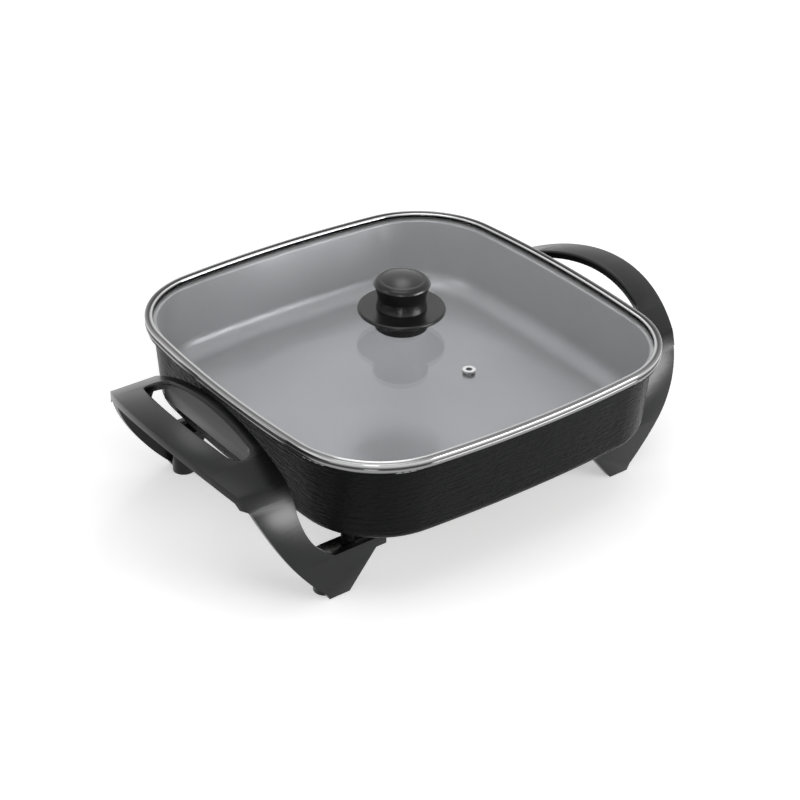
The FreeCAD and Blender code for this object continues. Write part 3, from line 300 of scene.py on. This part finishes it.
# %% Group: stretched grain, for drawn steel and for the pan's streaky skin
streaks, first, last = new_group(
    "stretched_grain",
    [("Along", 25.0), ("Across", 900.0), ("Depth", 0.0001), ("Detail", 4.0)],
    [("Height", "NodeSocketFloat"), ("Normal", "NodeSocketVector")])
place = node(streaks, "ShaderNodeTexCoord", -900, -200)
stretch = node(streaks, "ShaderNodeVectorMath", -500, 0)
stretch.operation = "MULTIPLY"
scales = node(streaks, "ShaderNodeCombineXYZ", -700, 100)
lines = node(streaks, "ShaderNodeTexNoise", -300, 0, Scale=1.0, Roughness=0.62, Distortion=0.25)
bump = node(streaks, "ShaderNodeBump", 300, 0, Strength=1.0)
streaks.links.new(first.outputs["Along"], scales.inputs["X"])
streaks.links.new(first.outputs["Along"], scales.inputs["Y"])
streaks.links.new(first.outputs["Across"], scales.inputs["Z"])
streaks.links.new(place.outputs["Object"], stretch.inputs[0])
streaks.links.new(scales.outputs[0], stretch.inputs[1])
streaks.links.new(stretch.outputs[0], lines.inputs["Vector"])
streaks.links.new(first.outputs["Detail"], lines.inputs["Detail"])
streaks.links.new(lines.outputs["Fac"], bump.inputs["Height"])
streaks.links.new(first.outputs["Depth"], bump.inputs["Distance"])
streaks.links.new(lines.outputs["Fac"], last.inputs["Height"])
streaks.links.new(bump.outputs["Normal"], last.inputs["Normal"])
print("group:", streaks.name)

# %% [markdown]
# ### Edge wear
#
# Hands and cloths rub edges a little lighter. Pointiness tells how sharply the surface
# bends, and a noise breaks the rubbed line into patches.

# %% Group: edge wear, from how sharply the surface bends
wear, first, last = new_group(
    "edge_wear", [("Start", 0.52), ("Full", 0.60), ("Patchiness", 60.0)],
    [("Mask", "NodeSocketFloat")])
shape = node(wear, "ShaderNodeNewGeometry", -700, 100)
place = node(wear, "ShaderNodeTexCoord", -700, -200)
edge = node(wear, "ShaderNodeMapRange", -400, 100)
patch = node(wear, "ShaderNodeTexNoise", -400, -200, Detail=5.0)
much = node(wear, "ShaderNodeMapRange", -100, -200, From_Min=0.35, From_Max=0.65)
both = node(wear, "ShaderNodeMath", 300, 0)
both.operation = "MULTIPLY"
wear.links.new(shape.outputs["Pointiness"], edge.inputs["Value"])
wear.links.new(first.outputs["Start"], edge.inputs["From Min"])
wear.links.new(first.outputs["Full"], edge.inputs["From Max"])
wear.links.new(place.outputs["Object"], patch.inputs["Vector"])
wear.links.new(first.outputs["Patchiness"], patch.inputs["Scale"])
wear.links.new(patch.outputs["Fac"], much.inputs["Value"])
wear.links.new(edge.outputs["Result"], both.inputs[0])
wear.links.new(much.outputs["Result"], both.inputs[1])
wear.links.new(both.outputs[0], last.inputs["Mask"])
print("group:", wear.name)

# %% [markdown]
# ## Finishes
#
# Every finish starts from one helper, which makes a material and puts in the shared
# groups with that finish's own values. The colour is mixed between two close tones by
# the grain's cloud, and a third tone comes in where edges are worn.

# %% Helpers for a grey and for a shared effect
def tone(value, warm=0.0):
    """A grey with a little warmth, as a colour."""
    return (value * (1 + warm), value, value * (1 - warm), 1)


def effect(tree, group, x, y, **values):
    """Place a shared effect in a material, with this finish's own values."""
    placed = node(tree, "ShaderNodeGroup", x, y)
    placed.node_tree = group
    for label, value in values.items():
        placed.inputs[label.replace("_", " ")].default_value = value
    return placed


print("a warm grey:", tone(0.5, 0.1))

# %% A helper for finishes
def finish(name, dark, light, worn=None, scale=900.0, depth=0.00003, rough=(0.3, 0.45),
           **sockets):
    """Material with cloudy colour, fine grain and worn edges. Other sockets are constants."""
    material = bpy.data.materials.new(name)
    material.use_nodes = True
    tree = material.node_tree
    shader = tree.nodes["Principled BSDF"]
    for label, value in sockets.items():
        shader.inputs[label.replace("_", " ")].default_value = value
    skin = effect(tree, grain, -700, 0, Scale=scale, Depth=depth,
                  Rough_Low=rough[0], Rough_High=rough[1])
    tree.links.new(skin.outputs["Roughness"], shader.inputs["Roughness"])
    tree.links.new(skin.outputs["Normal"], shader.inputs["Normal"])
    cloud = node(tree, "ShaderNodeMix", -450, 300)
    cloud.data_type = "RGBA"
    cloud.inputs["A"].default_value = dark
    cloud.inputs["B"].default_value = light
    tree.links.new(skin.outputs["Cloud"], cloud.inputs["Factor"])
    colour = cloud.outputs["Result"]
    if worn:
        edges = effect(tree, wear, -700, 500)
        rubbed = node(tree, "ShaderNodeMix", -200, 400)
        rubbed.data_type = "RGBA"
        rubbed.inputs["B"].default_value = worn
        tree.links.new(colour, rubbed.inputs["A"])
        tree.links.new(edges.outputs["Mask"], rubbed.inputs["Factor"])
        colour = rubbed.outputs["Result"]
    tree.links.new(colour, shader.inputs["Base Color"])
    return material


print("helper:", finish.__name__)

# %% [markdown]
# ### Plastics, rubber, ceramic and small steel parts
#
# Handles, shroud and knob are black phenolic. What one sees of it is mostly gloss, so
# its roughness and specular level matter more than its colour. Steel is all reflection:
# Metallic 1, with a colour that is the share of light it gives back.

# %% Plastics, rubber, ceramic and small steel parts
moulded_black = finish("moulded_black", tone(0.004, -0.04), tone(0.008, -0.04), worn=tone(0.02),
                       scale=1100.0, depth=0.00001, rough=(0.24, 0.30), Specular_IOR_Level=0.27)
knob_black = finish("knob_black", tone(0.005), tone(0.008), worn=tone(0.02), scale=1400.0,
                    depth=0.00001, rough=(0.18, 0.28), Specular_IOR_Level=0.35)
foot_rubber = finish("foot_rubber", tone(0.02), tone(0.035), scale=1600.0, depth=0.00006,
                     rough=(0.65, 0.8))
silicone = finish("silicone_ring", tone(0.45), tone(0.55), scale=700.0, rough=(0.4, 0.55),
                  Transmission_Weight=0.2)
ceramic = finish("ceramic", tone(0.66, 0.05), tone(0.76, 0.04), scale=1500.0, depth=0.00003,
                 rough=(0.45, 0.6))
bright_steel = finish("bright_steel", tone(0.62), tone(0.70), scale=900.0, depth=0.00001,
                      rough=(0.16, 0.26), Metallic=1.0)
screw_steel = finish("screw_steel", tone(0.50), tone(0.60), worn=tone(0.72), scale=1200.0,
                     depth=0.00003, rough=(0.25, 0.38), Metallic=1.0)
sheath = finish("element_sheath", tone(0.22, 0.06), tone(0.34, 0.12), scale=800.0,
                depth=0.00004, rough=(0.35, 0.5), Metallic=1.0)
print("finishes:", moulded_black.name, knob_black.name, sheath.name)

# %% [markdown]
# ### The pan's finishes
#
# Outside, the casting has a black enamel over a streaky skin: low ridges that run level
# round the pan, and break up into speckle in places. Two stretched noises, one coarse
# and one fine, are added up and fed to one Bump node. Inside, a grey non-stick coating
# lies on smooth metal, so it is half metallic. The rim is bare, and its tone is also set a
# little lighter as painted light, which lifts the shade that falls on it under the band.

# %% Pan outside
cast_black = finish("cast_black", tone(0.002, -0.05), tone(0.005, -0.05), worn=tone(0.02),
                    scale=500.0, depth=0.00004, rough=(0.16, 0.28), Specular_IOR_Level=0.045)
tree = cast_black.node_tree
shader = tree.nodes["Principled BSDF"]
ridges = effect(tree, streaks, -700, -300, Along=45.0, Across=520.0, Detail=5.0)
speck = effect(tree, streaks, -700, -550, Along=190.0, Across=420.0, Detail=3.0)
heights = node(tree, "ShaderNodeMath", -450, -400)
heights.operation = "ADD"
relief = node(tree, "ShaderNodeBump", -250, -350, Strength=1.0, Distance=0.0018)
tree.links.new(ridges.outputs["Height"], heights.inputs[0])
tree.links.new(speck.outputs["Height"], heights.inputs[1])
tree.links.new(heights.outputs[0], relief.inputs["Height"])
tree.links.new(relief.outputs["Normal"], shader.inputs["Normal"])
print("finish:", cast_black.name)

# %% Pan inside
nonstick = finish("nonstick_grey", tone(0.22, -0.025), tone(0.26, -0.025), scale=2600.0,
                  depth=0.000001, rough=(0.33, 0.38), Metallic=0.5)
# Painted light: the rim's tone is set lighter than the coating's, to lift the shade that falls
# on it under the band and glass.
bare_rim_with_painted_light = finish("bare_rim_with_painted_light", tone(0.26), tone(0.32), scale=900.0, depth=0.000004,
                  rough=(0.45, 0.55), Metallic=0.5)
print("finishes:", nonstick.name, bare_rim_with_painted_light.name)

# %% [markdown]
# ### Polished steel
#
# The rolled band mirrors light and dark in narrow lines that follow its beads. The studio
# here is white on nearly all sides, so these lines are painted reflection: a ramp across
# the band's section paints dark lines into the colour in the grooves and creases, and
# leaves it near full on the lip and the beads. The sweep below stores how far round the
# section each point lies, as the attribute across_section, and this material reads it.
# The ramp's painted tones are set where the section is known.

# %% Polished steel for the band, with faint lines along it
polished_steel = finish("polished_steel", tone(0.56), tone(0.64), scale=500.0, depth=0.000005,
                        rough=(0.08, 0.15), Metallic=1.0)
tree = polished_steel.node_tree
drawn = effect(tree, streaks, -700, -300, Along=12.0, Across=1200.0, Depth=0.0000008,
               Detail=2.0)
shader = tree.nodes["Principled BSDF"]
tree.links.new(drawn.outputs["Normal"], shader.inputs["Normal"])
# Painted reflection: a ramp across the section multiplies the steel's colour, dark in the
# creases and near full on the beads.
across = node(tree, "ShaderNodeAttribute", -900, 700)
across.attribute_name = "across_section"
painted_reflection_ramp = node(tree, "ShaderNodeValToRGB", -650, 700)
tree.links.new(across.outputs["Fac"], painted_reflection_ramp.inputs["Fac"])
painted_reflection_mix = node(tree, "ShaderNodeMix", -150, 500)
painted_reflection_mix.data_type = "RGBA"
painted_reflection_mix.blend_type = "MULTIPLY"
painted_reflection_mix.inputs["Factor"].default_value = 1.0
tree.links.new(shader.inputs["Base Color"].links[0].from_socket, painted_reflection_mix.inputs["A"])
tree.links.new(painted_reflection_ramp.outputs["Color"], painted_reflection_mix.inputs["B"])
tree.links.new(painted_reflection_mix.outputs["Result"], shader.inputs["Base Color"])
print("finish:", polished_steel.name)

# %% [markdown]
# ### Glass
#
# Tempered glass is clear, here with a faint blue-grey tint. A path tracer treats it as a
# caustic caster, so the pan under it would be dark and noisy. The usual cure is used:
# for shadow rays the glass is nearly transparent, by way of its Alpha. Its IOR is below
# the 1.5 of real glass, so that the white it mirrors doesn't wash out the pan.

# %% Glass
glass = bpy.data.materials.new("clear_glass")
glass.use_nodes = True
tree = glass.node_tree
shader = tree.nodes["Principled BSDF"]
shader.inputs["Base Color"].default_value = (0.968, 0.97, 0.985, 1)
shader.inputs["Transmission Weight"].default_value = 1.0
shader.inputs["IOR"].default_value = 1.25
smear = effect(tree, grain, -700, 0, Scale=40.0, Rough_Low=0.0, Rough_High=0.025)
tree.links.new(smear.outputs["Roughness"], shader.inputs["Roughness"])
path = node(tree, "ShaderNodeLightPath", -500, -300)
cover = node(tree, "ShaderNodeMapRange", -250, -300, To_Min=1.0, To_Max=0.08)
tree.links.new(path.outputs["Is Shadow Ray"], cover.inputs["Value"])
tree.links.new(cover.outputs["Result"], shader.inputs["Alpha"])
print("finish:", glass.name)

# %% [markdown]
# ## Dressing CAD pieces
#
# Where a piece only needs a finish, the CAD node stays and takes a material. The pan, the
# handles and the band are replaced by pieces of their own further down, which bring
# their finishes with them.

# %% Give the plain nodes their finish
PLAIN = {
    "heating_element": sheath, "probe_tube": bright_steel,
    "front_ceramic_bead": ceramic, "rear_ceramic_bead": ceramic,
    "front_terminal_pin": bright_steel, "rear_terminal_pin": bright_steel,
    "shroud_screws": screw_steel, "handle_washers": screw_steel, "handle_screws": screw_steel,
    "front_right_foot": foot_rubber, "rear_right_foot": foot_rubber,
    "rear_left_foot": foot_rubber, "front_left_foot": foot_rubber,
    "lid_glass": glass, "upper_seal": silicone, "lower_seal": silicone,
    "knob_washer": screw_steel, "knob_screw": screw_steel, "vent_ring": bright_steel,
    "socket_shroud": moulded_black, "finger_guard": knob_black, "lid_knob": knob_black,
    "steam_vent": bright_steel,
}
for name, material in PLAIN.items():
    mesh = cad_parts[name].data
    mesh.materials.clear()
    mesh.materials.append(material)
print("nodes with a finish:", len(PLAIN), "of", len(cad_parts))

# %% [markdown]
# ### Copies
#
# The CAD meshes are loose triangles, and a bevel needs joined ones. So a copy has its
# points merged, and triangles that lie in one plane are joined to one face again.

# %% A helper that copies a CAD mesh
SAME_POINT = 0.000002
SAME_PLANE = math.radians(0.4)


def solid_copy(name, cad_name):
    """Merged copy of a CAD mesh, with its flat faces joined again."""
    mesh = bpy.data.meshes.new(name)
    work = bmesh.new()
    work.from_mesh(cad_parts[cad_name].data)
    bmesh.ops.remove_doubles(work, verts=work.verts, dist=SAME_POINT)
    bmesh.ops.dissolve_limit(work, angle_limit=SAME_PLANE, use_dissolve_boundaries=False,
                             verts=work.verts, edges=work.edges)
    work.to_mesh(mesh)
    work.free()
    copy = bpy.data.objects.new(name, mesh)
    bpy.context.scene.collection.objects.link(copy)
    return copy


print("helper:", solid_copy.__name__)

# %% [markdown]
# ### Plain meshes and soft edges
#
# The Bevel modifier rounds the edges that are still sharp, with a width in metres. The
# modifier is then turned into plain mesh. Faces are shaded smooth, apart from edges that
# bend by more than a given angle, because one smooth shade over a corner looks dented.

# %% Helpers that settle a mesh and round its edges
def settle(obj, smooth=35.0):
    """Turn modifiers into plain mesh, shade it smooth and keep its sharp edges sharp."""
    view = bpy.context.evaluated_depsgraph_get()
    mesh = bpy.data.meshes.new_from_object(obj.evaluated_get(view), depsgraph=view)
    obj.modifiers.clear()
    obj.data = mesh
    mesh.shade_smooth()
    mesh.set_sharp_from_angle(angle=math.radians(smooth))


def dressed(name, cad_name, body, material, width, segments=3, angle=30.0):
    """A CAD piece with soft edges, in place of its node."""
    copy = solid_copy(name, cad_name)
    copy.data.materials.append(material)
    soft = copy.modifiers.new("soft_edges", "BEVEL")
    soft.width = width
    soft.segments = segments
    soft.limit_method = "ANGLE"
    soft.angle_limit = math.radians(angle)
    settle(copy)
    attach(copy, body)
    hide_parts(cad_name)
    return copy


print("helpers:", settle.__name__, dressed.__name__)

# %% [markdown]
# ## Handles
#
# Each handle is one phenolic moulding: an arched grip with a finger slot, a heat shield
# wall, and two legs. Such mouldings have no sharp edge anywhere, and the soft edges
# catch thin bright lines of light. The CAD solid has the shape, so its copy is bevelled.

# %% Handles
SOFT_EDGE = 0.0020
for side in ("right", "left"):
    moulding = dressed(side + "_handle_moulding", side + "_handle", "base", moulded_black,
                       SOFT_EDGE)
    print(moulding.name, "faces:", len(moulding.data.polygons))

# %% [markdown]
# ## Pan
#
# One casting with three finishes, each in a material slot of its own. A mask in one
# material could do the same, but slots keep a clean line at the rim. The faces of the
# inside are found by where they lie: above the floor, and turned up or inwards. The rim
# is what lies level at the very top.

# %% Pan
pan = solid_copy("pan_casting", "pan_body")
for coat in (cast_black, nonstick, bare_rim_with_painted_light):
    pan.data.materials.append(coat)
INSIDE_SLOT, RIM_SLOT = 1, 2
PAN_DEPTH = 0.0545
RIM_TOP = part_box("pan_body")[1].z
FLOOR_TOP = RIM_TOP - PAN_DEPTH
RIM_SLACK, FLOOR_SLACK = 0.0002, 0.0005
LEVEL, UPWARD, INWARD = 0.9, 0.5, -0.1
inside = 0
for face in pan.data.polygons:
    centre, normal = face.center, face.normal
    outward = Vector((centre.x, centre.y, 0)).normalized()
    turned_in = normal.z > UPWARD or normal.dot(outward) < INWARD
    if centre.z > RIM_TOP - RIM_SLACK and normal.z > LEVEL:
        face.material_index = RIM_SLOT
    elif centre.z > FLOOR_TOP - FLOOR_SLACK and turned_in:
        face.material_index = INSIDE_SLOT
        inside += 1
settle(pan)
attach(pan, "base")
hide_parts("pan_body")
print("pan faces inside:", inside, "of", len(pan.data.polygons))

# %% [markdown]
# ## Lid band
#
# The band is steel strip, rolled to one section and bent round the glass. A piece like
# that is a sweep: a path and a section. The path is the lid's outline, four bowed sides
# and four round corners that run into each other. Geometry Nodes sweep the section
# along it with Curve to Mesh. A bevelled plate would have the same height, but not the
# two beads and the groove between them.

# %% Outline of the lid
LID_HALF = 0.156
LID_SIDE = 0.880
LID_CORNER = 0.072


def lid_outline(inset, per_side=40, per_corner=20):
    """Points of the outline, moved in by the inset, counter-clockwise from a corner's end."""
    half, bow, nose = LID_HALF - inset, LID_SIDE - inset, LID_CORNER - inset
    # A side's arc is centred on an axis, and a corner's arc on a diagonal, at hub, hub.
    # Where they meet they run in one direction, so the centres lie bow - nose apart.
    shift = half - bow
    hub = (shift + math.sqrt(2 * (bow - nose) ** 2 - shift ** 2)) / 2
    swing = math.atan2(hub, hub - shift)
    points = []
    for quarter in range(4):
        turn = quarter * math.pi / 2
        for step in range(per_side):
            angle = turn - swing + 2 * swing * step / per_side
            points.append((shift * math.cos(turn) + bow * math.cos(angle),
                           shift * math.sin(turn) + bow * math.sin(angle)))
        middle = turn + math.pi / 4
        for step in range(per_corner):
            angle = turn + swing + (math.pi / 2 - 2 * swing) * step / per_corner
            points.append((math.sqrt(2) * hub * math.cos(middle) + nose * math.cos(angle),
                           math.sqrt(2) * hub * math.sin(middle) + nose * math.sin(angle)))
    return points


print("outline points:", len(lid_outline(0)))

# %% A helper that draws a closed line
def line_object(name, points):
    """Closed curve of straight runs through the points."""
    curve = bpy.data.curves.new(name, "CURVE")
    curve.dimensions = "3D"
    spline = curve.splines.new("POLY")
    spline.points.add(len(points) - 1)
    for point, (x, y, z) in zip(spline.points, points):
        point.co = (x, y, z, 1)
    spline.use_cyclic_u = True
    line = bpy.data.objects.new(name, curve)
    bpy.context.scene.collection.objects.link(line)
    return line


print("helper:", line_object.__name__)

# %% [markdown]
# ### Section of the band
#
# The strip is rolled round the glass's edge. Inside is a slot that holds the pane, and a
# lip lies on the pane. A bead runs along the top, and a groove and a lower bead run
# outside. The section is a short list of corners, and cutting the corners twice makes
# them round. A Bezier curve could be drawn instead, but a list of corners is easy to read
# and to change.

# %% Section of the band
CORNER_CUTS = 2


def softened(points):
    """Cut the corners of a closed outline a few times, which makes it smooth."""
    for _ in range(CORNER_CUTS):
        cut = []
        for index, (x, y) in enumerate(points):
            after_x, after_y = points[(index + 1) % len(points)]
            cut.append((0.75 * x + 0.25 * after_x, 0.75 * y + 0.25 * after_y))
            cut.append((0.25 * x + 0.75 * after_x, 0.25 * y + 0.75 * after_y))
        points = cut
    return points


# In millimetres: outwards from the outline, and up from the band's lower edge.
BAND_SECTION = [
    (-5.6, 4.56), (-5.6, 5.8), (-4.9, 6.3), (-4.0, 6.2), (-3.3, 5.7), (-2.7, 5.75), (-2.2, 6.5),
    (-1.1, 6.75), (-0.1, 6.3), (0.05, 5.0), (-0.25, 3.9), (-0.5, 3.2), (-0.25, 2.6), (0.0, 2.2),
    (0.0, 0.5), (-0.5, 0.0), (-5.2, 0.0), (-5.6, 0.2), (-5.6, 0.78), (-1.0, 0.78), (-1.0, 4.56),
]
# In metres. The sweep turns the section's second axis down, hence the minus sign.
section = [(x / 1000, -y / 1000) for x, y in softened(BAND_SECTION)]
BAND_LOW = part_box("lid_band")[0].z
print("band from", round(BAND_LOW * 1000, 2), "mm, section points:", len(section))

# %% [markdown]
# ### Painted reflection across the band
#
# Each mark of the ramp stands where a corner of the section is, so a painted tone is set by
# the corner's number: bright on the lip and the upper bead, halfway on the lower one, and
# dark in the creases, all as painted reflection. Each cut of the corners doubles the points,
# so the points of a corner start at four times its number. The corners that aren't listed lie
# out of sight.

# %% Painted reflection across the band
BAND_PAINTED_REFLECTION = {
    # corner of the section: painted reflection tone there
    0: 0.35, 1: 0.80, 2: 1.00, 3: 0.60, 4: 0.10, 5: 0.08, 6: 0.22, 7: 0.45, 8: 0.80, 9: 0.60,
    10: 0.20, 11: 0.05, 12: 0.12, 13: 0.45, 14: 0.30, 15: 0.06, 20: 0.20,
}
run = [0.0]  # the way round the section, from its first point to each of the others
for point, after in zip(section, section[1:] + section[:1]):
    run.append(run[-1] + math.dist(point, after))
ramp = painted_reflection_ramp.color_ramp
while len(ramp.elements) > 1:
    ramp.elements.remove(ramp.elements[0])
for corner, value in BAND_PAINTED_REFLECTION.items():
    mark = ramp.elements.new(run[corner * 2 ** CORNER_CUTS] / run[-1])
    mark.color = tone(value)
# A ramp can't be empty, so its last old mark goes only now.
ramp.elements.remove(ramp.elements[-1])
print("tones across the band:", len(ramp.elements))

# %% [markdown]
# ### The sweep
#
# The tree takes a section, its scale and a finish, so it could sweep any trim. Before the
# sweep it stores how far round the section each point lies, for the steel's ramp. It ends
# in Realize Instances and Set Material, so that the result is real mesh with a finish.

# %% The sweep as a node tree
def sweep_tree():
    """Geometry Nodes: sweeps the Section object along the object's own curve."""
    tree = bpy.data.node_groups.new("sweep_section", "GeometryNodeTree")
    tree.interface.new_socket("Geometry", in_out="INPUT", socket_type="NodeSocketGeometry")
    tree.interface.new_socket("Section", in_out="INPUT", socket_type="NodeSocketObject")
    tree.interface.new_socket("Section Scale", in_out="INPUT", socket_type="NodeSocketFloat")
    tree.interface.new_socket("Finish", in_out="INPUT", socket_type="NodeSocketMaterial")
    tree.interface.new_socket("Geometry", in_out="OUTPUT", socket_type="NodeSocketGeometry")
    start = node(tree, "NodeGroupInput", -600, 0)
    section = node(tree, "GeometryNodeObjectInfo", -400, -200)
    upright = node(tree, "GeometryNodeSetCurveNormal", -400, 100)
    upright.mode = "Z_UP"
    along = node(tree, "GeometryNodeSplineParameter", -400, -400)
    kept = node(tree, "GeometryNodeStoreNamedAttribute", -150, -200, Name="across_section")
    kept.data_type = "FLOAT"
    kept.domain = "POINT"
    swept = node(tree, "GeometryNodeCurveToMesh", 0, 0)
    real = node(tree, "GeometryNodeRealizeInstances", 200, 0)
    coat = node(tree, "GeometryNodeSetMaterial", 400, 0)
    end = node(tree, "NodeGroupOutput", 600, 0)
    link = tree.links.new
    link(start.outputs["Geometry"], upright.inputs["Curve"])
    link(upright.outputs["Curve"], swept.inputs["Curve"])
    link(start.outputs["Section"], section.inputs["Object"])
    link(section.outputs["Geometry"], kept.inputs["Geometry"])
    link(along.outputs["Factor"], kept.inputs["Value"])
    link(kept.outputs["Geometry"], swept.inputs["Profile Curve"])
    link(start.outputs["Section Scale"], swept.inputs["Scale"])
    link(swept.outputs["Mesh"], real.inputs["Geometry"])
    link(real.outputs["Geometry"], coat.inputs["Geometry"])
    link(start.outputs["Finish"], coat.inputs["Material"])
    link(coat.outputs["Geometry"], end.inputs["Geometry"])
    return tree


sweep = sweep_tree()
print("tree:", sweep.name, "nodes:", len(sweep.nodes))

# %% A helper that sets a modifier's input
def set_input(modifier, tree, name, value):
    """Set a modifier's input by its socket's identifier."""
    for item in tree.interface.items_tree:
        if item.item_type == "SOCKET" and item.in_out == "INPUT" and item.name == name:
            modifier[item.identifier] = value


print("helper:", set_input.__name__)

# %% [markdown]
# ### The band itself
#
# Path and section are drawn as curves, the modifier sweeps them, and the result is kept
# as a plain mesh. The curves are then removed. The path lies a hair inside the lid's
# outline, so that rounding never takes the band out of the CAD model's box.

# %% A helper that sweeps a piece
BAND_SMOOTH = 50.0


def swept(name, path_points, section_points, body, material, *cad_names):
    """A piece of one section along a closed path."""
    section = line_object(name + "_section", [(x, y, 0) for x, y in section_points])
    path = line_object(name + "_path", path_points)
    step = path.modifiers.new("sweep", "NODES")
    step.node_group = sweep
    set_input(step, sweep, "Section", section)
    set_input(step, sweep, "Section Scale", 1.0)
    set_input(step, sweep, "Finish", material)
    view = bpy.context.evaluated_depsgraph_get()
    mesh = bpy.data.meshes.new_from_object(path.evaluated_get(view), depsgraph=view)
    bpy.data.objects.remove(path)
    bpy.data.objects.remove(section)
    work = bmesh.new()
    work.from_mesh(mesh)
    bmesh.ops.recalc_face_normals(work, faces=work.faces)
    work.to_mesh(mesh)
    work.free()
    piece = bpy.data.objects.new(name, mesh)
    bpy.context.scene.collection.objects.link(piece)
    settle(piece, BAND_SMOOTH)
    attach(piece, body)
    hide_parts(*cad_names)
    return piece


print("helper:", swept.__name__)

# %% The band
OUTLINE_INSET = 0.00001
band = swept("rolled_band", [(x, y, BAND_LOW) for x, y in lid_outline(OUTLINE_INSET)], section,
             "lid", polished_steel, "lid_band")
# The first and the seventh corner of a bounding box are its lowest and its highest.
low, high = (Vector(corner) for corner in (band.bound_box[0], band.bound_box[6]))
print("band box", [round(v * 1000, 1) for v in low], [round(v * 1000, 1) for v in high],
      "faces", len(band.data.polygons))
